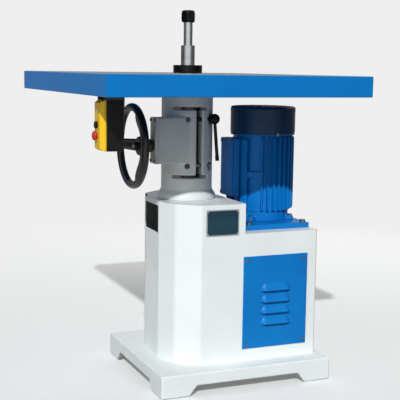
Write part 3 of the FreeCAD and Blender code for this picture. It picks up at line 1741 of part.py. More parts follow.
# Push-button station: bracket under the table, housing on the bracket, cover on the housing
switch_left = size.switch_y - size.switch_width / 2
switch_right = size.switch_y + size.switch_width / 2
switch_low = level_of.switch - size.switch_height / 2
switch_high = level_of.switch + size.switch_height / 2
housing_front = switch_face + size.switch_cover
housing_back = housing_front + size.switch_housing
bracket_back = housing_back + size.bracket_sheet
hanger_low = table_bottom - size.bracket_sheet
bracket_flange = block(
    "bracket_flange",
    (housing_front, switch_left, hanger_low),
    (bracket_back, switch_right, table_bottom),
)
bracket_drop = block(
    "bracket_drop",
    (housing_back, switch_left, table_bottom - size.bracket_drop),
    (bracket_back, switch_right, table_bottom),
)
half_spacing = size.switch_screw_spacing / 2
hanger_seats = [
    (switch_boss_x, size.switch_y + gap, hanger_low) for gap in (-half_spacing, half_spacing)
]
housing_seats = [
    (bracket_back, size.switch_y + gap, level_of.housing_screw) for gap in (-half_spacing, half_spacing)
]
switch_head = (size.switch_screw_head_radius, size.switch_screw_head)
hanger_shank = (size.switch_screw_radius, size.switch_screw_shank)
housing_shank = (size.switch_screw_radius, size.housing_screw_shank)
hanger_screws, hanger_holes = fasteners("hanger_screw", hanger_seats, "z", True, switch_head, hanger_shank)
housing_screws, housing_holes = fasteners(
    "housing_screw", housing_seats, "x", False, switch_head, housing_shank
)
bracket_solid = joined("bracket_solid", [bracket_flange, bracket_drop])
node("switch_bracket", cut("switch_bracket", bracket_solid, [*hanger_holes, *housing_holes]))
node("switch_screws", grouped("switch_screws", [*hanger_screws, *housing_screws]))
housing_blank = block(
    "housing_blank", (housing_front, switch_left, switch_low), (housing_back, switch_right, switch_high)
)
housing_room = block(
    "housing_room",
    (housing_front - size.overrun, switch_left + size.switch_wall, switch_low + size.switch_wall),
    (housing_back - size.switch_wall, switch_right - size.switch_wall, switch_high - size.switch_wall),
)
node("switch_housing", cut("switch_housing", housing_blank, [housing_room, *housing_holes]))

# Cover of the station: a straight band, then a bevel to the face
band_front = housing_front - size.switch_band
cover_band = block(
    "cover_band", (band_front, switch_left, switch_low), (housing_front, switch_right, switch_high)
)
half_width = size.switch_width / 2
half_height = size.switch_height / 2
face_half_width = half_width - size.switch_bevel
face_half_height = half_height - size.switch_bevel
FACING_LEFT = Rotation(Vector(0, 0, 1), 90)
cover_bevel = wedge(
    "cover_bevel",
    (-half_width, half_width, -half_height, half_height),
    (-face_half_width, face_half_width, -face_half_height, face_half_height),
    (0, size.switch_cover - size.switch_band),
    (band_front, size.switch_y, level_of.switch),
    FACING_LEFT,
)
cover_rim = size.switch_bevel + size.switch_wall
room_front = housing_front - size.switch_cover_room
cover_room = block(
    "cover_room",
    (room_front, switch_left + cover_rim, switch_low + cover_rim),
    (housing_front + size.overrun, switch_right - cover_rim, switch_high - cover_rim),
)
button_holes = [
    rod(
        f"{name}_hole",
        (switch_face - size.overrun, size.switch_y, level),
        radius + size.running_fit,
        size.switch_cover + size.overrun,
        "x",
    )
    for name, level, radius in (
        ("start", level_of.start, size.start_radius),
        ("stop", level_of.stop, size.stop_radius),
        ("lamp", level_of.lamp, size.lamp_radius),
    )
]
station_cover = joined("station_cover", [cover_band, cover_bevel])
node("switch_cover", cut("switch_cover", station_cover, [cover_room, *button_holes]))

# Buttons: each has a stem in the cover and a flange behind it that stops the return
flange_front = room_front + size.seat_gap
stem_end = flange_front + size.button_flange


def button_stem(name, level, radius, start):
    stem = rod(f"{name}_stem", (start, size.switch_y, level), radius, stem_end - start, "x")
    flange = rod(
        f"{name}_flange",
        (flange_front, size.switch_y, level),
        size.button_flange_radius,
        size.button_flange,
        "x",
    )
    return [stem, flange]


start_button = button_stem("start", level_of.start, size.start_radius, switch_face - size.start_proud)
node("start_button", joined("start_button", start_button))
head_back = switch_face - size.stop_head_gap
stop_head = rod(
    "stop_head",
    (head_back - size.stop_head, size.switch_y, level_of.stop),
    size.stop_head_radius,
    size.stop_head,
    "x",
)
stop_button = button_stem("stop", level_of.stop, size.stop_radius, head_back)
node("stop_button", joined("stop_button", [stop_head, *stop_button]))

# Pilot lamp in the cover, and the contact blocks behind the buttons
lamp = rod(
    "lamp",
    (switch_face - size.lamp_proud, size.switch_y, level_of.lamp),
    size.lamp_radius,
    size.lamp_proud + room_front - switch_face,
    "x",
)
node("pilot_lamp", lamp)
half_contact = size.contact_block / 2
contact_front = stem_end + size.button_travel + size.contact_gap
contact_back = housing_back - size.switch_wall
contacts = [
    block(
        f"contact_{number}",
        (contact_front, size.switch_y - half_contact, level - half_contact),
        (contact_back, size.switch_y + half_contact, level + half_contact),
    )
    for number, level in enumerate((level_of.start, level_of.stop))
]
node("contact_blocks", grouped("contact_blocks", contacts))

# Table: a ribbed casting with a ground top, a pad over the column and a boss for the station
table_slab = block(
    "table_slab", (table_left, -table_half, table_bottom), (table_right, table_half, size.table_height)
)
hollow_left = table_left + size.table_rim
hollow_right = table_right - size.table_rim
hollow_half = table_half - size.table_rim
table_hollow = block(
    "table_hollow",
    (hollow_left, -hollow_half, table_bottom - size.overrun),
    (hollow_right, hollow_half, table_plate_bottom),
)
table_shell = cut("table_shell", table_slab, [table_hollow])
rib_low = table_plate_bottom - size.table_rib_height
rib_half = size.table_rib / 2
ribs = []
for number in range(1, LONG_BAYS):
    rib_y = hollow_half * 2 * number / LONG_BAYS - hollow_half
    ribs.append(
        block(
            f"long_rib_{number}",
            (hollow_left, rib_y - rib_half, rib_low),
            (hollow_right, rib_y + rib_half, table_plate_bottom),
        )
    )
for number in range(1, CROSS_BAYS):
    rib_x = hollow_left + (hollow_right - hollow_left) * number / CROSS_BAYS
    ribs.append(
        block(
            f"cross_rib_{number}",
            (rib_x - rib_half, -hollow_half, rib_low),
            (rib_x + rib_half, hollow_half, table_plate_bottom),
        )
    )
table_pad = rod(
    "table_pad", (0, 0, column_top), size.table_pad_radius, table_plate_bottom - column_top
)
switch_boss = block(
    "switch_boss",
    (
        switch_boss_x - size.switch_boss_length / 2,
        size.switch_y - size.switch_boss_width / 2,
        table_bottom,
    ),
    (
        switch_boss_x + size.switch_boss_length / 2,
        size.switch_y + size.switch_boss_width / 2,
        table_plate_bottom,
    ),
)
table_solid = joined("table_solid", [table_shell, *ribs, table_pad, switch_boss])
flange_room = rod(
    "flange_room",
    (0, 0, table_bottom - size.overrun),
    size.table_pad_radius,
    column_top - table_bottom + size.overrun,
)
table_hole = rod(
    "table_hole",
    (0, 0, column_top - size.overrun),
    size.table_hole_radius,
    size.table_height - column_top + size.overrun * 2,
)
insert_low = size.table_height - size.insert_thickness
insert_recess = rod(
    "insert_recess",
    (0, 0, insert_low),
    size.insert_radius + size.running_fit,
    size.insert_thickness + size.overrun,
)
table_cuts = [flange_room, table_hole, insert_recess, *table_holes, *hanger_holes]
node("table", cut("table", table_solid, table_cuts))

# Insert ring round the spindle, flush with the table top
insert = ring("insert_ring", size.insert_bore_radius, size.insert_radius, insert_low, size.table_height)
node("insert_ring", insert)

# Check every object, then write one file for each sub-part
doc.recompute()
for item in doc.Objects:
    if "Invalid" in item.State or "Error" in item.State:
        raise RuntimeError(f"{item.Label} did not compute: {item.State}")
for piece in nodes:
    if piece.Shape.isNull() or not piece.Shape.isValid():
        raise RuntimeError(f"{piece.Label} has no valid shape")
os.makedirs("parts", exist_ok=True)
for piece in nodes:
    piece.Shape.exportStep(f"parts/{piece.Label}.step")
print(len(nodes), "sub-parts written")
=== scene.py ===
import json
import math

import bmesh
import bpy
from mathutils import Matrix, Vector


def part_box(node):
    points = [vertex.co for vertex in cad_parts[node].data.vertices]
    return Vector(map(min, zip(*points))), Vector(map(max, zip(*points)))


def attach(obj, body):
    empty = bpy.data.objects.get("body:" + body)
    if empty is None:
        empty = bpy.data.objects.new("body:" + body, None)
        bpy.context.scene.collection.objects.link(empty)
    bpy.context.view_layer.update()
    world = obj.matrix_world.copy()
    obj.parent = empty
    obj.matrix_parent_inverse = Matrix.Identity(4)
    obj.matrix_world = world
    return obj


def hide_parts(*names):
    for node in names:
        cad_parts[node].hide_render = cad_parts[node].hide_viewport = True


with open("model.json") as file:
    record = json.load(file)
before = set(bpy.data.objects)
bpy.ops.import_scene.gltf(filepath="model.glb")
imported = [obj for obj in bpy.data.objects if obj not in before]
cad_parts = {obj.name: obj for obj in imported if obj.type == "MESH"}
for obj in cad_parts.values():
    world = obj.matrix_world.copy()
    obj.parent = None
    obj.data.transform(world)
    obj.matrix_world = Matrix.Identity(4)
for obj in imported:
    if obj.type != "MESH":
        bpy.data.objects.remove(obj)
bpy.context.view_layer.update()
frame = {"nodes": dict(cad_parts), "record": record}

# Base plinth
# An iron casting on four feet, with an arch between the feet on every side.
# Sand cast, filled, and sprayed white together with the cabinet that stands on it.
MM = 0.001
WELD = 0.002 * MM
PLINTH_ROLL = 4.5
body_of = {node: body for body, nodes in frame["record"]["behaviour"]["bodies"].items() for node in nodes}


def linear(code):
    """The linear colour of an sRGB hex value."""
    parts = [int(code[at:at + 2], 16) / 255 for at in (0, 2, 4)]
    return [part / 12.92 if part < 0.04045 else ((part + 0.055) / 1.055) ** 2.4 for part in parts] + [1.0]


def add(tree, kind, inputs=None, **settings):
    """Adds a node with its settings, and sets or links its inputs."""
    made = tree.nodes.new("ShaderNode" + kind)
    for name, value in settings.items():
        setattr(made, name, value)
    for name, value in (inputs or {}).items():
        if isinstance(value, bpy.types.NodeSocket):
            tree.links.new(value, made.inputs[name])
        else:
            made.inputs[name].default_value = value
    return made


def blank(name):
    """A new material, its empty node tree, and the place of a point on the piece in metres."""
    made = bpy.data.materials.new(name)
    made.use_nodes = True
    made.node_tree.nodes.clear()
    return made, made.node_tree, add(made.node_tree, "TexCoord").outputs["Object"]


def sprayed_paint(name, colour, thick, rubbed, roughness, gloss=0.5, film=140, casting=0.0):
    """Enamel sprayed on metal. The eye sees a soft drift of tone where the film is thicker, orange
    peel in the gloss, the sand of a casting under it, and a paler line where edges have been rubbed.
    film is the width of the drift. Casting sand is finer than a pixel, so it is drawn coarser."""
    peel = 1.6 * MM
    peel_high = 0.06 * MM
    chip = 9 * MM
    sand_grain = 5 * MM
    sand_high = 0.5 * MM
    made, tree, place = blank(name)
    drift = add(tree, "TexNoise", {"Vector": place, "Scale": 1 / (film * MM), "Detail": 3.0})
    spread = add(tree, "MapRange", {"Value": drift.outputs["Fac"], "From Min": 0.3, "From Max": 0.7})
    tone = add(tree, "MixRGB", {"Fac": spread.outputs["Result"], "Color1": linear(colour),
                                "Color2": linear(thick)})
    chips = add(tree, "TexNoise", {"Vector": place, "Scale": 1 / chip, "Detail": 5.0})
    chipped = add(tree, "MapRange", {"Value": chips.outputs["Fac"], "From Min": 0.56, "From Max": 0.66})
    edge = add(tree, "Attribute", attribute_name="wear")
    worn = add(tree, "Math", {0: chipped.outputs["Result"], 1: edge.outputs["Fac"]}, operation="MULTIPLY")
    coloured = add(tree, "MixRGB", {"Fac": worn.outputs["Value"], "Color1": tone.outputs["Color"],
                                    "Color2": linear(rubbed)})
    dulled = add(tree, "MapRange", {"Value": drift.outputs["Fac"], "To Min": roughness - 0.05,
                                    "To Max": roughness + 0.09})
    skin = add(tree, "TexNoise", {"Vector": place, "Scale": 1 / peel, "Detail": 1.0})
    peeled = add(tree, "Bump", {"Height": skin.outputs["Fac"], "Strength": 0.25, "Distance": peel_high})
    sand = add(tree, "TexNoise", {"Vector": place, "Scale": 1 / sand_grain, "Detail": 6.0})
    cast = add(tree, "Bump", {"Height": sand.outputs["Fac"], "Strength": casting, "Distance": sand_high,
                              "Normal": peeled.outputs["Normal"]})
    shader = add(tree, "BsdfPrincipled", {"Base Color": coloured.outputs["Color"], "IOR": 1.5,
                                          "Specular IOR Level": gloss,
                                          "Roughness": dulled.outputs["Result"],
                                          "Normal": cast.outputs["Normal"]})
    add(tree, "OutputMaterial", {"Surface": shader.outputs["BSDF"]})
    return made


def piece(name, shape, material, like, turn=38):
    """A finished mesh. It stands for the frame node that it is like and rides with it.
    Edges that turn more than the given angle stay sharp."""
    mesh = bpy.data.meshes.new(name)
    shape.to_mesh(mesh)
    shape.free()
    mesh.shade_smooth()
    mesh.set_sharp_from_angle(angle=math.radians(turn))
    mesh.materials.append(material)
    made = bpy.data.objects.new(name, mesh)
    bpy.context.scene.collection.objects.link(made)
    made.modifiers.new("even_shading", "WEIGHTED_NORMAL").keep_sharp = True
    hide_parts(like)
    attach(made, body_of[like])
    return made


def frame_shape(node):
    """A frame node's mesh with its seams closed and its flat faces whole."""
    shape = bmesh.new()
    shape.from_mesh(frame["nodes"][node].data)
    bmesh.ops.remove_doubles(shape, verts=shape.verts, dist=WELD)
    bmesh.ops.dissolve_limit(shape, angle_limit=math.radians(1), verts=shape.verts, edges=shape.edges)
    return shape


def roll_edges(shape, width, segments=3, longer=8, turn=25, only=None, worn=0.0):
    """Rounds the edges that turn enough and are long enough, and marks how far they are rubbed."""
    wear = shape.faces.layers.float.get("wear") or shape.faces.layers.float.new("wear")
    chosen = [edge for edge in shape.edges if edge.is_manifold and edge.calc_length() > longer * MM
              and math.degrees(edge.calc_face_angle()) > turn and (only is None or only(edge))]
    rolled = bmesh.ops.bevel(shape, geom=chosen, offset=width * MM, segments=segments, profile=0.5,
                             affect="EDGES", clamp_overlap=False)
    for face in rolled["faces"]:
        face[wear] = worn


# White enamel gives a clean satin face with wide, soft highlights.
white_enamel = sprayed_paint("white_enamel_on_steel", "E6EDED", "EDF2F2", "D8DEDD", 0.36)
plinth = frame_shape("base_plinth")
roll_edges(plinth, PLINTH_ROLL, longer=20, worn=0.6)
piece("plinth_casting", plinth, white_enamel, "base_plinth")

# Cabinet
# Two bent steel sheets seamed at the ends, a plate under the column and a deck under the motor.
# Folded and welded from sheet, sprayed white with the base; the window's free corners are rounded off.
BEND = 7
BEND_TALL = 40
SEAM_STRIP = 10
WINDOW_HALF = 57
SHEET_EDGE = 5
CORNER_ROUND = 13
PLATE_ROLL = 1.2
for node, name in (("cabinet_front", "front_sheet"), ("cabinet_rear", "rear_sheet")):
    sheet = frame_shape(node)
    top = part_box(node)[1].z

    def free_corner(edge):
        """The short edges across the sheet at its top, beside the window."""
        middle = (edge.verts[0].co + edge.verts[1].co) / 2
        level = abs(edge.verts[0].co.z - edge.verts[1].co.z) < WELD
        at_top = level and middle.z > top - WELD
        return at_top and abs(middle.y) < WINDOW_HALF * MM and edge.calc_length() < SHEET_EDGE * MM

    def upright(edge):
        """The bends of the sheet, but not the long sides of its own thin edges."""
        run = edge.verts[0].co - edge.verts[1].co
        narrow = min(face.calc_area() for face in edge.link_faces) < SEAM_STRIP * MM * run.length
        return abs(run.z) > 0.9 * run.length and run.length > BEND_TALL * MM and not narrow

    roll_edges(sheet, CORNER_ROUND, segments=6, longer=1, turn=60, only=free_corner)
    roll_edges(sheet, BEND, segments=5, turn=12, only=upright)
    piece(name, sheet, white_enamel, node)
for node in ("tower_top_plate", "tower_side", "motor_deck"):
    plate = frame_shape(node)
    roll_edges(plate, PLATE_ROLL, segments=2, longer=30)
    piece(node + "_welded", plate, white_enamel, node)

# Access panel
# A sheet steel door over the belt drive, held by screws near its corners, with four pressed louvres.
# Sprayed in the same blue as the table and the motor.
PANEL_SHEET = 2.5
PANEL_ROLL = 2.2
PANEL_WELD = 0.02
LOUVRE_COUNT = 4
LOUVRE_WIDE = 92
LOUVRE_TALL = 25
LOUVRE_DEEP = 13
LOUVRE_ROUND = 16
LOUVRE_TAPER = 13
LOUVRE_SLOPE = 1.4
LOUVRE_STEPS_ACROSS = 40
LOUVRE_STEPS_UP = 10
LOUVRE_LOW_SHARE = 0.26
LOUVRE_PITCH_SHARE = 0.1214
# Blue enamel gives a deep, even colour with less sheen than the white.
blue_enamel = sprayed_paint("blue_enamel_on_steel", "0572C0", "087CC9", "2E8ACF", 0.34, gloss=0.2)
panel_low, panel_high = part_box("access_panel")
panel_tall = panel_high.z - panel_low.z
panel_middle = (panel_low.x + panel_high.x) / 2
panel_back = panel_high.y


def pressed(across, up):
    """How far a louvre stands out, from its height above the lip and its distance from the middle."""
    rise = min(up / MM / LOUVRE_TALL, 1)
    half = LOUVRE_WIDE / 2 - LOUVRE_TAPER * rise
    end = min(max((abs(across) / MM - half + LOUVRE_ROUND) / LOUVRE_ROUND, 0), 1)
    return LOUVRE_DEEP * MM * math.sqrt(1 - end * end) * (1 - rise) ** LOUVRE_SLOPE


def sheet_of(shape, thickness):
    """Gives a skin the thickness of its sheet, on the side away from its faces."""
    bmesh.ops.recalc_face_normals(shape, faces=shape.faces)
    bmesh.ops.solidify(shape, geom=list(shape.faces), thickness=thickness * MM)
    bmesh.ops.recalc_face_normals(shape, faces=shape.faces)


panel = bmesh.new()
half = panel_high.x - panel_middle
steps = range(LOUVRE_STEPS_ACROSS + 1)
columns = [-half, PANEL_ROLL * MM - half]
columns += [LOUVRE_WIDE * MM * (step / LOUVRE_STEPS_ACROSS - 0.5) for step in steps]
columns += [half - PANEL_ROLL * MM, half]
lip_shares = [LOUVRE_LOW_SHARE + LOUVRE_PITCH_SHARE * at for at in range(LOUVRE_COUNT)]
lips = [panel_low.z + panel_tall * share for share in lip_shares]
for at, (start, end) in enumerate(zip([panel_low.z] + lips, lips + [panel_high.z])):
    rises = [0.0, PANEL_ROLL * MM, end - start]
    if at:
        rises = [LOUVRE_TALL * MM * step / LOUVRE_STEPS_UP for step in range(LOUVRE_STEPS_UP + 1)]
        rises.append(end - start)
    if at == LOUVRE_COUNT:
        rises.insert(-1, end - start - PANEL_ROLL * MM)
    rows = []
    for rise in rises:
        level = start + rise
        row = []
        for across in columns:
            deep = pressed(across, rise) if at else 0.0
            if abs(across) == half or level in (panel_low.z, panel_high.z):
                deep = -PANEL_ROLL / 2 * MM
            spot = (panel_middle + across, panel_back - PANEL_SHEET * MM - deep, level)
            row.append(panel.verts.new(spot))
        rows.append(row)
    for below, above in zip(rows, rows[1:]):
        for left in range(len(columns) - 1):
            panel.faces.new((below[left], below[left + 1], above[left + 1], above[left]))
bmesh.ops.remove_doubles(panel, verts=panel.verts, dist=PANEL_WELD * MM)
sheet_of(panel, PANEL_SHEET)
piece("louvred_door", panel, blue_enamel, "access_panel")

SCREW_STEPS = 24
HEAD_DEEP_SHARE = 0.9
HEAD_EDGE_SHARE = 0.1
HEAD_CROWN_SHARE = 0.9
HEAD_FLAT_SHARE = 0.72
SOCKET_SHARE = 0.5
SOCKET_DEEP_SHARE = 0.45
EVEN = (1, 1, 1)


def machined_metal(name, colour, streak, roughness, lines, stretch, passes=8):
    """Bare metal left by a cutter. The eye sees fine lines along the cut and the wider passes that they
    lie in, in the gloss as much as in the tone. stretch is how far the lines run in X, Y and Z.
    Real cutter marks are well under a millimetre apart, so they are drawn coarser, to show."""
    ridge_high = 0.05 * MM
    made, tree, place = blank(name)
    along = add(tree, "Mapping", {"Vector": place, "Scale": [1 / (lines * MM * run) for run in stretch]})
    marks = add(tree, "TexNoise", {"Vector": along.outputs["Vector"], "Scale": 1.0, "Detail": 4.0})
    wide = add(tree, "TexNoise", {"Vector": along.outputs["Vector"], "Scale": 1 / passes, "Detail": 2.0})
    cut = add(tree, "MixRGB", {"Fac": 0.5, "Color1": marks.outputs["Color"],
                               "Color2": wide.outputs["Color"]})
    share = add(tree, "MapRange", {"Value": cut.outputs["Color"], "From Min": 0.35, "From Max": 0.65})
    tone = add(tree, "MixRGB", {"Fac": share.outputs["Result"], "Color1": linear(colour),
                                "Color2": linear(streak)})
    gloss = add(tree, "MapRange", {"Value": share.outputs["Result"], "To Min": roughness - 0.06,
                                   "To Max": roughness + 0.08})
    ridged = add(tree, "Bump", {"Height": marks.outputs["Fac"], "Strength": 0.12, "Distance": ridge_high})
    shader = add(tree, "BsdfPrincipled", {"Base Color": tone.outputs["Color"], "Metallic": 1.0,
                                          "Roughness": gloss.outputs["Result"],
                                          "Normal": ridged.outputs["Normal"]})
    add(tree, "OutputMaterial", {"Surface": shader.outputs["BSDF"]})
    return made


def islands(node):
    """The boxes of a frame node's separate solids, as (lowest corner, highest corner)."""
    shape = frame_shape(node)
    left = set(shape.verts)
    boxes = []
    while left:
        group = [left.pop()]
        for vert in group:
            near = {edge.other_vert(vert) for edge in vert.link_edges} & left
            left -= near
            group.extend(near)
        spots = [vert.co for vert in group]
        boxes.append((Vector([min(spot[at] for spot in spots) for at in range(3)]),
                      Vector([max(spot[at] for spot in spots) for at in range(3)])))
    shape.free()
    return boxes


def turned_ring(shape, place, rings, steps):
    """Skins a stack of rings. place sets a ring's point (radius, angle, height) in the frame; a ring is
    (radius, height), or (function of the angle, height)."""
    rows = []
    for radius, height in rings:
        row = []
        for step in range(steps):
            angle = 2 * math.pi * step / steps
            reach = radius(angle) if callable(radius) else radius
            spot = Vector((reach * math.cos(angle), reach * math.sin(angle), height))
            row.append(shape.verts.new(place @ spot))
        rows.append(row)
    for below, above in zip(rows, rows[1:]):
        for at in range(steps):
            beside = (at + 1) % steps
            shape.faces.new((below[at], below[beside], above[beside], above[at]))
    return rows


def socket_screws(name, material, node, outward, dome=0.0):
    """The heads of a node's screws: a round head with a chamfer or a dome, and a hexagon socket."""
    shape = bmesh.new()
    facing = Vector(outward)
    along = max(range(3), key=lambda at: abs(facing[at]))
    across = (along + 1) % 3
    for low, high in islands(node):
        radius = (high[across] - low[across]) / 2
        seat = (low + high) / 2
        seat[along] = high[along] if facing[along] > 0 else low[along]
        place = Matrix.Translation(seat) @ facing.to_track_quat("Z", "Y").to_matrix().to_4x4()

        def hexagon(angle, flat=radius * SOCKET_SHARE):
            return flat / math.cos((angle + math.pi / 6) % (math.pi / 3) - math.pi / 6)

        rings = [(radius, -radius * HEAD_DEEP_SHARE), (radius, -radius * (HEAD_EDGE_SHARE + dome)),
                 (radius * HEAD_CROWN_SHARE, -radius * dome / 2), (radius * HEAD_FLAT_SHARE, 0.0),
                 (hexagon, 0.0), (hexagon, -radius * SOCKET_DEEP_SHARE)]
        rows = turned_ring(shape, place, rings, SCREW_STEPS)
        shape.faces.new(rows[-1])
    piece(name, shape, material, node)


# Fresh zinc looks bright and cloudy; zinc that has dulled is a flat mid grey.
zinc_plate = machined_metal("zinc_plated_steel", "9EA2A5", "BDC0C2", 0.36, 3.0, EVEN)
dull_steel = machined_metal("dulled_zinc_steel", "6E7274", "85898B", 0.45, 3.0, EVEN)
socket_screws("door_screws", dull_steel, "panel_screws", (0, -1, 0), dome=0.3)

# Nameplate
# A thin aluminium plate riveted to the tower front, anodised dark inside a bare border.
# Punched from sheet and brushed along its length; its face is blank.
PLATE_SHEET = 1.2
PLATE_BORDER = 3
PLATE_ROUND = 4
PLATE_STEP = 0.5
PLATE_RAISED = 0.4
CORNER_STEPS = 5
RIVET = 2.2
RIVET_INSET = 5
RIVET_TILTS = (0, 0.5, 1.0, 1.4)
RIVET_STEPS = 12
BRUSHED = (40, 1, 1)
# Anodising gives a dark, silky face; the bare border and rivets catch more light.
anodised = machined_metal("dark_anodised_aluminium", "2C4858", "3A5B6E", 0.42, 1.6, BRUSHED)
bare_aluminium = machined_metal("bare_aluminium", "A7B0B4", "C3CACD", 0.36, 1.6, BRUSHED)
plate_low, plate_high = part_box("nameplate")
plate_face = plate_high.y - PLATE_SHEET * MM
plate = bmesh.new()
outer = []
for corner, (x, z) in enumerate(((plate_high.x, plate_high.z), (plate_low.x, plate_high.z),
                                 (plate_low.x, plate_low.z), (plate_high.x, plate_low.z))):
    for step in range(CORNER_STEPS + 1):
        angle = math.pi / 2 * (corner + step / CORNER_STEPS)
        inward = Vector((1 if x == plate_low.x else -1, 0, 1 if z == plate_low.z else -1))
        swing = Vector((math.cos(angle), 0, math.sin(angle)))
        outer.append(plate.verts.new(Vector((x, plate_face, z)) + PLATE_ROUND * MM * (inward + swing)))
blank_face = plate.faces.new(outer)
skirt = bmesh.ops.extrude_face_region(plate, geom=[blank_face])
bmesh.ops.translate(plate, vec=(0, PLATE_SHEET * MM, 0),
                    verts=[part for part in skirt["geom"] if isinstance(part, bmesh.types.BMVert)])
border = bmesh.ops.inset_region(plate, faces=[blank_face], thickness=PLATE_BORDER * MM, depth=0)
# The face is turned inwards at this point, so a negative depth raises it above its border.
bmesh.ops.inset_region(plate, faces=[blank_face], thickness=PLATE_STEP * MM, depth=-PLATE_RAISED * MM)
for face in border["faces"]:
    face.material_index = 1
dome = [(RIVET * MM * math.cos(tilt), RIVET * MM * 0.5 * math.sin(tilt)) for tilt in RIVET_TILTS]
for x in (plate_low.x + RIVET_INSET * MM, plate_high.x - RIVET_INSET * MM):
    for z in (plate_low.z + RIVET_INSET * MM, plate_high.z - RIVET_INSET * MM):
        place = Matrix.Translation((x, plate_face, z)) @ Matrix.Rotation(math.pi / 2, 4, "X")
        rows = turned_ring(plate, place, dome, RIVET_STEPS)
        plate.faces.new(rows[-1])
        for face in {face for row in rows for vert in row for face in vert.link_faces}:
            face.material_index = 1
nameplate = piece("blank_nameplate", plate, anodised, "nameplate")
nameplate.data.materials.append(bare_aluminium)

# Column
# The iron casting that guides the quill, with a boss for the pinion and a split that the lever clamps.
# Sand cast and painted grey; bolted down through its foot and up into the table.
COLUMN_VOXEL = 2.2
COLUMN_PASSES = 4
BOSS_ROLL = 1.5


def cast_over(name, shape, material, like, voxel, passes):
    """Melts a rough shape into one casting whose corners run into each other in soft fillets."""
    rough = bpy.data.meshes.new(name + "_rough")
    shape.to_mesh(rough)
    shape.free()
    mould = bpy.data.objects.new(name + "_mould", rough)
    bpy.context.scene.collection.objects.link(mould)
    skin = mould.modifiers.new("skin", "REMESH")
    skin.mode = "VOXEL"
    skin.voxel_size = voxel * MM
    fillets = mould.modifiers.new("fillets", "SMOOTH")
    fillets.factor = 0.5
    fillets.iterations = passes
    poured = bpy.data.meshes.new_from_object(mould.evaluated_get(bpy.context.evaluated_depsgraph_get()))
    bpy.data.objects.remove(mould)
    melted = bmesh.new()
    melted.from_mesh(poured)
    piece(name, melted, material, like, turn=180)


def dress(material, *nodes):
    """Gives frame nodes that show as they are a finish."""
    for node in nodes:
        frame["nodes"][node].data.materials.clear()
        frame["nodes"][node].data.materials.append(material)


# Grey paint on iron looks satin, and a little uneven from the sand under it.
grey_paint = sprayed_paint("grey_paint_on_cast_iron", "DADFDD", "E1E5E3", "B4BAB9", 0.42, gloss=0.4,
                           film=60, casting=0.22)
cast_over("column_casting", frame_shape("column"), grey_paint, "column", COLUMN_VOXEL, COLUMN_PASSES)
boss_plate = frame_shape("boss_cover")
roll_edges(boss_plate, BOSS_ROLL, segments=2, longer=20)
piece("boss_plate", boss_plate, grey_paint, "boss_cover")
dress(zinc_plate, "column_bolts")
dress(dull_steel, "cover_screws")

# Quill, rack and pinion
# The sleeve that carries the spindle slides in the column; a rack on it meets the handwheel's pinion.
# Turned and ground steel, the pinion's bushes of bronze; all run in oil.
ROUND_Z = (40, 40, 1)
ROUND_X = (1, 40, 40)
# Turned steel mirrors its surroundings in rings; bronze looks brown under oil. The oiled steel inside the
# column is coloured darker than oil makes it, as painted shade for the slits and holes that it shows
# through.
turned_steel = machined_metal("turned_steel", "B4B8BA", "D4D7D8", 0.17, 4.0, ROUND_Z)
oiled_steel_and_painted_shade = machined_metal("oiled_ground_steel_and_painted_shade", "3E4142", "4F5253", 0.3, 4.0, ROUND_Z)
cross_turned_steel = machined_metal("cross_turned_steel", "8E9294", "B9BCBE", 0.26, 4.0, ROUND_X)
bronze = machined_metal("oiled_bronze", "5A4A30", "6E5C3E", 0.36, 4.0, ROUND_X)
dress(oiled_steel_and_painted_shade, "quill", "rack", "quill_caps", "quill_bearing_outer_rings", "quill_bearing_inner_rings")
dress(cross_turned_steel, "pinion_shaft")
dress(bronze, "pinion_bushes")

# Handwheel
# A dished iron wheel with three flat oval spokes, cast in one and dipped in black enamel.
# Keyed on the pinion shaft and held by a nut.
RIM_BAR = 10
# Melting the wheel into one casting takes this much off the rim, so it is added first.
POURED = 0.8
BAR_STEPS = 24
RIM_STEPS = 96
HUB = ((15, 0), (18, 0.5), (19, 3), (19, 12), (23, 17), (26, 24), (26, 36), (24.5, 38.5), (15, 39))
HUB_STEPS = 48
SPOKE_ANGLES = (0, 120, 240)
SPOKE_ROOT = (19, 10)
SPOKE_END = (14, 9)
SPOKE_START = 12
SPOKE_BACK = 24
SPOKE_RUNS = 12
SPOKE_STEPS = 16
WHEEL_VOXEL = 1.5
WHEEL_PASSES = 6
# Black enamel shows the form by its wet highlights alone; blackened steel is as dark but dull.
black_enamel = sprayed_paint("black_enamel_on_cast_iron", "141517", "1C1E20", "4A4D50", 0.26, casting=0.05)
blackened = machined_metal("blackened_steel", "1B1C1E", "2A2C2E", 0.36, 4.0, EVEN)
wheel_low, wheel_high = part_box("handwheel")
wheel_y = (wheel_low.y + wheel_high.y) / 2
wheel_z = (wheel_low.z + wheel_high.z) / 2
rim_x = wheel_low.x + RIM_BAR * MM
rim_radius = (wheel_high.z - wheel_low.z) / 2 - RIM_BAR * MM
on_axis = Matrix.Translation((0, wheel_y, wheel_z)) @ Matrix.Rotation(math.pi / 2, 4, "Y")
wheel = bmesh.new()
bar = []
for step in range(BAR_STEPS):
    tilt = 2 * math.pi * step / BAR_STEPS
    thick = (RIM_BAR + POURED) * MM
    bar.append((rim_radius + thick * math.cos(tilt), rim_x + thick * math.sin(tilt)))
turned_ring(wheel, on_axis, bar + bar[:1], RIM_STEPS)
bmesh.ops.remove_doubles(wheel, verts=wheel.verts, dist=WELD)
hub_x = wheel_high.x
rows = turned_ring(wheel, on_axis, [(radius * MM, hub_x - back * MM) for radius, back in HUB], HUB_STEPS)
wheel.faces.new(rows[0])
wheel.faces.new(rows[-1])
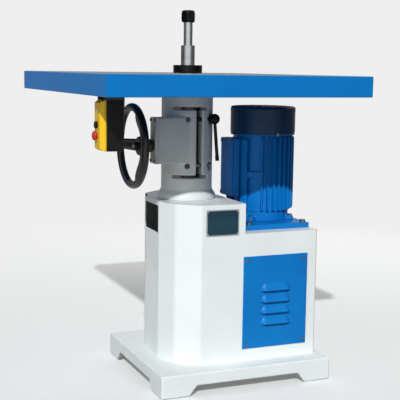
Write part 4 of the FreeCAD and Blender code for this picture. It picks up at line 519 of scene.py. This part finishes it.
for angle in SPOKE_ANGLES:
    lean = Matrix.Rotation(math.radians(angle), 4, "X")
    spoke = []
    for step in range(SPOKE_RUNS + 1):
        share = step / SPOKE_RUNS
        reach = SPOKE_START * MM + (rim_radius - SPOKE_START * MM) * share
        swing = (1 - math.cos(math.pi * share)) / 2
        dish = hub_x - SPOKE_BACK * MM + (rim_x - hub_x + SPOKE_BACK * MM) * swing
        wide = SPOKE_ROOT[0] + (SPOKE_END[0] - SPOKE_ROOT[0]) * share
        deep = SPOKE_ROOT[1] + (SPOKE_END[1] - SPOKE_ROOT[1]) * share
        ring = []
        for turn in range(SPOKE_STEPS):
            tilt = 2 * math.pi * turn / SPOKE_STEPS
            spot = lean @ Vector((dish + deep * MM * math.sin(tilt), reach, wide * MM * math.cos(tilt)))
            ring.append(wheel.verts.new(spot + Vector((0, wheel_y, wheel_z))))
        spoke.append(ring)
    for near, far in zip(spoke, spoke[1:]):
        for turn in range(SPOKE_STEPS):
            beside = (turn + 1) % SPOKE_STEPS
            wheel.faces.new((near[turn], near[beside], far[beside], far[turn]))
    wheel.faces.new(spoke[0])
    wheel.faces.new(spoke[-1])
bmesh.ops.recalc_face_normals(wheel, faces=wheel.faces)
cast_over("handwheel_casting", wheel, black_enamel, "handwheel", WHEEL_VOXEL, WHEEL_PASSES)
dress(blackened, "handwheel_nut")

# Clamp lever
# A screw with a ball hub and a thin bar that pulls the column's split together; a plain bolt sits below.
# Steel turned and blackened; the ends of the cross nuts show dark in the column's face, their dark colour
# partly painted shade.
dress(blackened, "lock_screw", "lever_rod")
dress(oiled_steel_and_painted_shade, "clamp_barrel_nuts")
dress(dull_steel, "clamp_bolt")

# Spindle
# A ground steel shaft with a black collar at the table, a thick shank, a thin arbor and a nut.
# Runs in the quill's bearings and carries the drum of the belt drive below.
COLLAR_ROLL = 1.5
NUT_FLATS = 36
NUT_STEPS = 72
dress(turned_steel, "spindle", "spindle_spacers", "drum_nut")
collar = frame_shape("spindle_collar")
roll_edges(collar, COLLAR_ROLL, segments=3, longer=0, turn=60)
piece("black_collar", collar, blackened, "spindle_collar")
# Turned iron is a darker, duller grey than steel.
pulley_iron = machined_metal("turned_cast_iron", "5A5D5F", "74777A", 0.4, 4.0, ROUND_Z)
dress(pulley_iron, "drum_pulley")


def nut_ring(cone):
    """A hexagon cut back to a cone's radius, as a turned chamfer leaves it."""
    return lambda angle: min(NUT_FLATS / 2 / math.cos(angle % (math.pi / 3) - math.pi / 6), cone) * MM


nut_low, nut_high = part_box("arbor_nut")
nut_place = Matrix.Translation(((nut_low.x + nut_high.x) / 2, (nut_low.y + nut_high.y) / 2, 0))
nut_bore = [(12.4, 0)]
nut_chamfers = [(15.5, 0), (17.6, 1.6), (19.4, 4.4), (20.8, 8.5), (20.8, 24), (19.6, 28.4), (17.6, 31.6),
                (15, 33.4), (13.6, 33.9)]
nut_recess = [(12, 33.9), (11.7, 30)]
rings = [(radius * MM, nut_low.z + rise * MM) for radius, rise in nut_bore]
rings += [(nut_ring(cone), nut_low.z + rise * MM) for cone, rise in nut_chamfers]
rings += [(radius * MM, nut_low.z + rise * MM) for radius, rise in nut_recess]
arbor_nut = bmesh.new()
rows = turned_ring(arbor_nut, nut_place, rings, NUT_STEPS)
arbor_nut.faces.new(rows[-1])
piece("hexagon_nut", arbor_nut, blackened, "arbor_nut")

# Table
# A ribbed iron casting with a deep edge, bolted to the column's flange.
# The top is ground bare and keeps the lines of the wheel; the edge is sprayed blue.
TABLE_ROLL = 2.5
TOP_WITHIN = 0.1
# Ground iron is a pale, dull grey with long lines; the faced ring shows rounder ones.
ground_iron = machined_metal("ground_cast_iron", "7F8385", "95999A", 0.74, 2.5, (60, 1, 60), passes=12)
faced_steel = machined_metal("faced_steel", "8E9294", "A6A9AB", 0.7, 3.0, (1, 1, 40))
table = frame_shape("table")
table_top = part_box("table")[1].z
roll_edges(table, TABLE_ROLL, longer=200, worn=0.8)
for face in table.faces:
    if face.normal.z > 0.999 and face.calc_center_median().z > table_top - TOP_WITHIN * MM:
        face.material_index = 1
table_piece = piece("table_casting", table, blue_enamel, "table")
table_piece.data.materials.append(ground_iron)
dress(faced_steel, "insert_ring")

# Motor
# A flange motor standing on its plate: lower shield, finned frame with a terminal box, and fan cover.
# The frame and shields are cast and sprayed blue; the cover is pressed from sheet and sprayed darker, with
# painted shade added to its colour.
FIN_COUNT = 32
FIN_TURN = -3
FIN_HALF = 2.5
FIN_ROOT = 82
FIN_TIP = 94
FIN_SQUARE = 7
FIN_STEPS = 30
FIN_ENDS = ((0, 0.0), (2, 0.35), (5, 0.8), (9, 1.0))
FRAME_BORE = 77
INSIDE_SHELL = 70
SADDLE_HALF = 35
SADDLE_LAP = 1
SADDLE_ROLL = 3
STRIP_ANGLES = (150, 210)
STRIP_WIDE = 17
STRIP_SPREAD = 37
STRIP_FACE = 95
STRIP_LOW = 10
STRIP_HIGH = 14
STRIP_ROLL = 2.5
BOSS_LOW = 40
BOSS_HIGH = 32
SCREW_BOSS = ((4.5, -1), (4.5, 0.6), (3.8, 1.2), (2.4, 1.2), (2.2, -0.6))
BOSS_STEPS = 18
RECESS_ANGLES = (215.2, 243)
WEB_LOW = 103
WEB_TALL = 14
WEB_ROOT = 80
WEB_REACH = 93
WEB_ROUND = (16, 7)
WEB_EDGE = 1.6
WEB_EASE = 0.5
WEB_STEPS = 28
WEB_LAP = 2
SHIELD_VOXEL = 1.6
SHIELD_PASSES = 3
FOOT_ROLL = 2
cover_low, cover_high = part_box("fan_cover")
motor_x = (cover_low.x + cover_high.x) / 2
motor_place = Matrix.Translation((motor_x, 0, 0))
frame_low, frame_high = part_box("motor_frame")


def fins(height):
    """The frame's outline: a round shell with fins of the given share of their height."""
    def reach(angle):
        pitch = 360 / FIN_COUNT
        nearest = round((math.degrees(angle) - FIN_TURN) / pitch) * pitch + FIN_TURN
        if abs(nearest - 180) < STRIP_SPREAD or RECESS_ANGLES[0] < nearest < RECESS_ANGLES[1]:
            return FIN_ROOT * MM
        aside = math.radians(math.degrees(angle) - nearest) * FIN_TIP
        pulse = 1 / (1 + abs(aside / FIN_HALF) ** FIN_SQUARE)
        return (FIN_ROOT + (FIN_TIP - FIN_ROOT) * pulse * height) * MM
    return reach


motor_frame = bmesh.new()
rises = [(frame_low.z + rise * MM, height) for rise, height in FIN_ENDS]
rises += [(frame_high.z - rise * MM, height) for rise, height in reversed(FIN_ENDS)]
rings = [(FRAME_BORE * MM, frame_low.z)] + [(fins(height), level) for level, height in rises]
rings += [(FRAME_BORE * MM, frame_high.z), (FRAME_BORE * MM, frame_low.z)]
turned_ring(motor_frame, motor_place, rings, FIN_COUNT * FIN_STEPS)
bmesh.ops.remove_doubles(motor_frame, verts=motor_frame.verts, dist=WELD)


def rounded_block(shape, low, high, radius, place=Matrix()):
    """A block between two corners with all its edges rounded."""
    made = bmesh.ops.create_cube(shape, size=1.0)["verts"]
    span = Vector(high) - Vector(low)
    middle = (Vector(high) + Vector(low)) / 2
    for vert in made:
        vert.co = place @ Vector([middle[at] + vert.co[at] * span[at] for at in range(3)])
    edges = {edge for vert in made for edge in vert.link_edges}
    bmesh.ops.bevel(shape, geom=list(edges), offset=radius, segments=3, profile=0.5, affect="EDGES",
                    clamp_overlap=True)


box_low, box_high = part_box("terminal_box")
rounded_block(motor_frame, (box_high.x - SADDLE_LAP * MM, -SADDLE_HALF * MM, box_low.z),
              (motor_x - INSIDE_SHELL * MM, SADDLE_HALF * MM, box_high.z), SADDLE_ROLL * MM)
boss_rings = [(radius * MM, out * MM) for radius, out in SCREW_BOSS]
for angle in STRIP_ANGLES:
    strip_place = motor_place @ Matrix.Rotation(math.radians(angle), 4, "Z")
    rounded_block(motor_frame, (INSIDE_SHELL * MM, -STRIP_WIDE / 2 * MM, frame_low.z + STRIP_LOW * MM),
                  (STRIP_FACE * MM, STRIP_WIDE / 2 * MM, frame_high.z - STRIP_HIGH * MM),
                  STRIP_ROLL * MM, strip_place)
    for level in (frame_low.z + BOSS_LOW * MM, frame_high.z - BOSS_HIGH * MM):
        boss_seat = strip_place @ Matrix.Translation((STRIP_FACE * MM, 0, level))
        rows = turned_ring(motor_frame, boss_seat @ Matrix.Rotation(math.pi / 2, 4, "Y"), boss_rings,
                           BOSS_STEPS)
        motor_frame.faces.new(rows[-1])


def fillet(away, radius):
    """How far a fillet still reaches out at a distance from the wall that it starts on."""
    return radius - math.sqrt(radius ** 2 - max(radius - away, 0) ** 2)


web = []
for step in range(-WEB_LAP, WEB_STEPS + WEB_LAP + 1):
    angle = RECESS_ANGLES[0] + (RECESS_ANGLES[1] - RECESS_ANGLES[0]) * step / WEB_STEPS
    away = min(angle - RECESS_ANGLES[0], RECESS_ANGLES[1] - angle)
    away = max(math.radians(away) * WEB_REACH, 0)
    under = frame_low.z / MM + WEB_LOW - fillet(away, WEB_ROUND[0])
    over = frame_low.z / MM + WEB_LOW + WEB_TALL + fillet(away, WEB_ROUND[1])
    turned = motor_place @ Matrix.Rotation(math.radians(angle), 4, "Z")
    section = (
        (WEB_ROOT, under), (WEB_REACH - WEB_EDGE, under), (WEB_REACH - WEB_EASE, under + WEB_EASE),
        (WEB_REACH, under + WEB_EDGE), (WEB_REACH, over - WEB_EDGE),
        (WEB_REACH - WEB_EASE, over - WEB_EASE), (WEB_REACH - WEB_EDGE, over), (WEB_ROOT, over),
    )
    spots = [turned @ Vector((out * MM, 0, level * MM)) for out, level in section]
    web.append([motor_frame.verts.new(spot) for spot in spots])
for near, far in zip(web, web[1:]):
    for at in range(len(near) - 1):
        motor_frame.faces.new((near[at], near[at + 1], far[at + 1], far[at]))
for section in (web[0], web[-1]):
    motor_frame.faces.new(section)
bmesh.ops.recalc_face_normals(motor_frame, faces=motor_frame.faces)
piece("finned_frame", motor_frame, blue_enamel, "motor_frame")
cast_over("lower_shield_casting", frame_shape("motor_lower_shield"), blue_enamel, "motor_lower_shield",
          SHIELD_VOXEL, SHIELD_PASSES)
motor_plate = frame_shape("motor_plate")
roll_edges(motor_plate, FOOT_ROLL, longer=40, worn=0.5)
piece("motor_foot_plate", motor_plate, blue_enamel, "motor_plate")

COVER_SHEET = 1.7
COVER_SIDE = ((-5, 0), (-1.8, 2.5), (-0.6, 6), (-0.4, 11), (-0.4, 66), (0, 68), (0, 77), (-1.2, 80),
              (-4, 82.2), (-9, 83))
COVER_TOP = (78, 54, 30, 12)
VENT_COUNT = 16
VENT_CELLS = 6
VENT_OPEN = (1, 2, 3)
SEAM_ANGLE = 202
SEAM_WIDE = 11
SEAM_SUNK = 3
SEAM_PROUD = 0.8
SEAM_LOW = 9
SEAM_HIGH = 14
# The cover is sprayed a darker blue than the frame, and its colour is set darker still as painted shade for
# the table's shadow it sits in; it looks almost black in shade and shows its blue where light falls on it.
dark_enamel_with_painted_shade = sprayed_paint("dark_blue_enamel_with_painted_shade", "082F52", "09365C", "275D8A", 0.36, gloss=0.3)
cover = bmesh.new()
cover_radius = (cover_high.x - cover_low.x) / 2 / MM
rings = [((cover_radius + out) * MM, cover_low.z + rise * MM) for out, rise in COVER_SIDE]
rings += [(radius * MM, cover_high.z) for radius in COVER_TOP]
rows = turned_ring(cover, motor_place, rings, VENT_COUNT * VENT_CELLS)
cover.faces.new(rows[-1])
vents = []
for inner, outer in zip(rows[-2:-4:-1], rows[-3:-5:-1]):
    for vent in range(VENT_COUNT):
        for cell in VENT_OPEN:
            at = vent * VENT_CELLS + cell
            beside = (at + 1) % len(inner)
            vents.append(cover.faces.get((outer[at], outer[beside], inner[beside], inner[at])))
bmesh.ops.delete(cover, geom=vents, context="FACES")
sheet_of(cover, COVER_SHEET)
rounded_block(cover, ((cover_radius - SEAM_SUNK) * MM, -SEAM_WIDE / 2 * MM, cover_low.z + SEAM_LOW * MM),
              ((cover_radius + SEAM_PROUD) * MM, SEAM_WIDE / 2 * MM, cover_high.z - SEAM_HIGH * MM),
              SEAM_PROUD * MM, motor_place @ Matrix.Rotation(math.radians(SEAM_ANGLE), 4, "Z"))
piece("fan_cover_pressing", cover, dark_enamel_with_painted_shade, "fan_cover")
for node, name, width in (
    ("terminal_box", "terminal_box_casting", 3.5),
    ("terminal_box_lid", "terminal_lid", 2.2),
):
    box = frame_shape(node)
    roll_edges(box, width, longer=20)
    piece(name, box, blue_enamel, node)
dress(blue_enamel, "motor_upper_shield")
dress(pulley_iron, "motor_pulley", "stator")
dress(turned_steel, "motor_rotor", "motor_bearing_outer_rings", "motor_bearing_inner_rings")
dress(dull_steel, "motor_plate_bolts", "motor_shield_bolts", "motor_pulley_bolt")


def moulded(name, colour, deeper, roughness, grain=0.7, sheen=0.5):
    """Moulded plastic or rubber. The eye sees an even colour, the fine grain of the mould and a soft
    sheen. The real grain is finer than a pixel, so it is drawn coarser."""
    drift_wide = 25 * MM
    grain_high = 0.05 * MM
    made, tree, place = blank(name)
    drift = add(tree, "TexNoise", {"Vector": place, "Scale": 1 / drift_wide, "Detail": 2.0})
    tone = add(tree, "MixRGB", {"Fac": drift.outputs["Fac"], "Color1": linear(colour),
                                "Color2": linear(deeper)})
    grains = add(tree, "TexNoise", {"Vector": place, "Scale": 1 / (grain * MM), "Detail": 2.0})
    grained = add(tree, "Bump", {"Height": grains.outputs["Fac"], "Strength": 0.2, "Distance": grain_high})
    gloss = add(tree, "MapRange", {"Value": grains.outputs["Fac"], "To Min": roughness - 0.05,
                                   "To Max": roughness + 0.05})
    shader = add(tree, "BsdfPrincipled", {"Base Color": tone.outputs["Color"], "IOR": 1.46,
                                          "Specular IOR Level": sheen,
                                          "Roughness": gloss.outputs["Result"],
                                          "Normal": grained.outputs["Normal"]})
    add(tree, "OutputMaterial", {"Surface": shader.outputs["BSDF"]})
    return made


# Black ABS is a deep black with a weak, broad sheen.
black_plastic = moulded("black_abs", "08090A", "0D0E0F", 0.46, sheen=0.25)
dress(black_plastic, "cooling_fan", "cable_gland")

# Belt
# A flat rubber belt from the motor's pulley to the drum on the spindle.
# Woven core under matt rubber, which takes the light evenly; it runs inside the cabinet.
belt_rubber = moulded("belt_rubber", "1A1918", "262423", 0.75, grain=1.2)
dress(belt_rubber, "drive_belt")

# Push-button station
# A moulded box on a steel hanger under the table's edge: yellow cover, start, stop and a lamp.
# The housing is black; the cover is screwed on from the front. The hanger is folded from sheet.
STATION_ROLL = 2.0
HANGER_ROLL = 1.0
HANGER_LIP = 7
HANGER_LIP_TALL = 4
HANGER_LAP = 2
HANGER_SHEET = 2
HANGER_EDGE = 0.6
CAP_FLANGE = 2
CAP_STEPS = 48
START_FACE = ((2.5, 1.0), (5, 0.8), (7, 0.3), (7.9, 0), (8.6, 0.3), (9, 1.1))
START_STEM = 9
STOP_FACE = ((2, 0), (5, 0.4), (8, 1.3), (10.2, 2.6), (11.5, 4.1), (12, 5.6), (11.7, 6.9), (10.8, 7.5),
             (8, 7.5))
STOP_STEM = 8
LAMP_FACE = ((1.2, 0), (3, 0.3), (4.5, 0.9), (5.4, 1.7), (5.9, 2.5))
LAMP_STEM = 6
# The cover and the stop button have a plain bright colour and a soft sheen; the lens looks milky and wet.
yellow_plastic = moulded("yellow_abs", "E9BB12", "EEC322", 0.36)
red_plastic = moulded("red_abs", "B52A22", "C4362C", 0.3)
lamp_lens = moulded("opal_acrylic", "E6DDD0", "EFE8DD", 0.16)
for node, name, material in (
    ("switch_housing", "station_housing", black_plastic),
    ("switch_cover", "station_cover", yellow_plastic),
):
    shell = frame_shape(node)
    roll_edges(shell, STATION_ROLL, longer=20)
    piece(name, shell, material, node)
hanger = frame_shape("switch_bracket")
roll_edges(hanger, HANGER_ROLL, longer=20)
hanger_low, hanger_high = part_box("switch_bracket")
housing_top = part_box("switch_housing")[1].z
lip_x = hanger_low.x - HANGER_LIP * MM
for y in (hanger_low.y, hanger_high.y - HANGER_SHEET * MM):
    rounded_block(hanger, (lip_x, y, housing_top), (hanger_high.x, y + HANGER_SHEET * MM, hanger_high.z),
                  HANGER_EDGE * MM)
rounded_block(hanger, (lip_x, hanger_low.y, hanger_high.z - HANGER_LIP_TALL * MM),
              (hanger_low.x + HANGER_LAP * MM, hanger_high.y, hanger_high.z), HANGER_EDGE * MM)
piece("station_hanger", hanger, black_enamel, "switch_bracket")


def pressed_out(name, node, material, profile, stem):
    """A round cap that faces left: its profile is (radius, distance behind the front), then comes its
    stem and the flange that keeps it in the cover."""
    low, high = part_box(node)
    middle = (low.x, (low.y + high.y) / 2, (low.z + high.z) / 2)
    facing = Matrix.Translation(middle) @ Matrix.Rotation(-math.pi / 2, 4, "Y")
    flange = (high.y - low.y) / 2
    behind = low.x - high.x
    rings = [(out * MM, -back * MM) for out, back in profile]
    rings += [(stem * MM, behind + CAP_FLANGE * MM), (flange, behind + CAP_FLANGE * MM), (flange, behind)]
    cap = bmesh.new()
    rows = turned_ring(cap, facing, rings, CAP_STEPS)
    cap.faces.new(rows[0])
    cap.faces.new(rows[-1])
    bmesh.ops.recalc_face_normals(cap, faces=cap.faces)
    piece(name, cap, material, node)


pressed_out("start_cap", "start_button", black_plastic, START_FACE, START_STEM)
pressed_out("stop_cap", "stop_button", red_plastic, STOP_FACE, STOP_STEM)
pressed_out("lamp_dome", "pilot_lamp", lamp_lens, LAMP_FACE, LAMP_STEM)
dress(black_plastic, "contact_blocks")
dress(zinc_plate, "switch_screws")

# Floor and light
# A pale matt floor that fades into the pale surround, one high lamp in front, soft ones at the left
# and behind. Polished pieces mirror a surround that is bright in front, above and behind.
FLOOR_REACH = 3.0
FLOOR_FADE = (0.9, 2.8)
FLOOR_LIFT = 0.14
FLOOR_DROP = 0.5
FLOOR_SIDES = 64
SURROUND_SEEN = 0.86
SURROUND_LIGHT = 0.12
TO_FRONT = (-0.39, -0.92, 0)
KEY_POWER = 2.8
KEY_SIZE = 1.2
KEY_TILT = 55
KEY_TURN = -27
FILL_SIZE = 3.0
FILL_AIM = (0, 0, 0.45)
FILLS = (("left_fill", 36, (-3.0, -2.0, 0.7)), ("rear_fill", 55, (2.4, 2.9, 1.5)))
floor_paint, floor_tree, floor_place = blank("pale_floor")
reach = add(floor_tree, "VectorMath", {0: floor_place}, operation="LENGTH")
fade = add(floor_tree, "MapRange", {"Value": reach.outputs["Value"], "From Min": FLOOR_FADE[0],
                                    "From Max": FLOOR_FADE[1]})
floor_ray = add(floor_tree, "LightPath")
floor_tone = add(floor_tree, "MixRGB", {"Fac": floor_ray.outputs["Is Diffuse Ray"],
                                        "Color1": linear("E9EBEB"), "Color2": linear("A2A4A4")})
matt = add(floor_tree, "BsdfDiffuse", {"Color": floor_tone.outputs["Color"]})
lift = add(floor_tree, "Math", {0: floor_ray.outputs["Is Camera Ray"], 1: FLOOR_LIFT}, operation="MULTIPLY")
glow = add(floor_tree, "Emission", {"Color": linear("FFFFFF"), "Strength": lift.outputs["Value"]})
lifted = add(floor_tree, "AddShader", {0: matt.outputs["BSDF"], 1: glow.outputs["Emission"]})
clear = add(floor_tree, "BsdfTransparent")
faded = add(floor_tree, "MixShader", {0: fade.outputs["Result"], 1: lifted.outputs["Shader"],
                                      2: clear.outputs["BSDF"]})
add(floor_tree, "OutputMaterial", {"Surface": faded.outputs["Shader"]})
floor_shape = bmesh.new()
bmesh.ops.create_circle(floor_shape, cap_ends=True, segments=FLOOR_SIDES, radius=FLOOR_REACH)
floor_mesh = bpy.data.meshes.new("floor")
floor_shape.to_mesh(floor_mesh)
floor_shape.free()
floor = bpy.data.objects.new("floor", floor_mesh)
floor.data.materials.append(floor_paint)
floor.location.z = -FLOOR_DROP * MM
bpy.context.scene.collection.objects.link(floor)

world = bpy.data.worlds.new("pale_surround")
world.use_nodes = True
sky = world.node_tree
sky.nodes.clear()
ray = add(sky, "LightPath")
seen = add(sky, "Math", {0: ray.outputs["Is Camera Ray"], 1: ray.outputs["Is Transmission Ray"]},
           operation="MAXIMUM")
level = add(sky, "MapRange", {"Value": seen.outputs["Value"], "To Min": SURROUND_LIGHT,
                              "To Max": SURROUND_SEEN})
heading = add(sky, "TexCoord").outputs["Generated"]
toward = add(sky, "VectorMath", {0: heading, 1: TO_FRONT}, operation="DOT_PRODUCT")
height = add(sky, "SeparateXYZ", {"Vector": heading})
front = add(sky, "MapRange", {"Value": toward.outputs["Value"], "From Min": 0.45, "From Max": 0.9,
                              "To Min": 0.13, "To Max": 0.95})
back = add(sky, "MapRange", {"Value": toward.outputs["Value"], "From Min": -0.55, "From Max": -0.95,
                             "To Max": 0.5})
above = add(sky, "MapRange", {"Value": height.outputs["Z"], "From Min": 0.05, "From Max": 0.5,
                              "To Max": 0.8})
around = add(sky, "Math", {0: front.outputs["Result"], 1: back.outputs["Result"]}, operation="MAXIMUM")
mirrored = add(sky, "Math", {0: around.outputs["Value"], 1: above.outputs["Result"]}, operation="MAXIMUM")
strength = add(sky, "MixRGB", {"Fac": ray.outputs["Is Glossy Ray"], "Color1": level.outputs["Result"],
                               "Color2": mirrored.outputs["Value"]})
surround = add(sky, "Background", {"Color": linear("FFFFFF"), "Strength": strength.outputs["Color"]})
add(sky, "OutputWorld", {"Surface": surround.outputs["Background"]})
bpy.context.scene.world = world

key = bpy.data.objects.new("key_lamp", bpy.data.lights.new("key_lamp", "SUN"))
key.data.energy = KEY_POWER
key.data.angle = math.radians(KEY_SIZE)
key.rotation_euler = (math.radians(KEY_TILT), 0, math.radians(KEY_TURN))
bpy.context.scene.collection.objects.link(key)
for name, power, spot in FILLS:
    fill = bpy.data.objects.new(name, bpy.data.lights.new(name, "AREA"))
    fill.data.size = FILL_SIZE
    fill.data.energy = power
    fill.visible_glossy = False
    fill.location = spot
    fill.rotation_euler = (Vector(FILL_AIM) - fill.location).to_track_quat("-Z", "Y").to_euler()
    bpy.context.scene.collection.objects.link(fill)

# Camera
# At the photo's viewing angle: placed by the long edges of the table, the cabinet and the base.
FOCAL_PIXELS = 953.4
IMAGE_PIXELS = 400
SENSOR = 36
CAMERA_YAW = 22.85
CAMERA_PITCH = -7.91
CAMERA_ROLL = 0.78
CAMERA_SPOT = (-1017.6 * MM, -2537.1 * MM, 887.0 * MM)
camera = bpy.data.objects.new("camera", bpy.data.cameras.new("camera"))
camera.data.sensor_width = SENSOR
camera.data.lens = SENSOR * FOCAL_PIXELS / IMAGE_PIXELS
camera.matrix_world = (
    Matrix.Translation(CAMERA_SPOT)
    @ Matrix.Rotation(-math.radians(CAMERA_YAW), 4, "Z")
    @ Matrix.Rotation(math.pi / 2 + math.radians(CAMERA_PITCH), 4, "X")
    @ Matrix.Rotation(math.radians(CAMERA_ROLL), 4, "Z")
)
bpy.context.scene.collection.objects.link(camera)
bpy.context.scene.camera = camera
bpy.context.scene.view_settings.view_transform = "Standard"
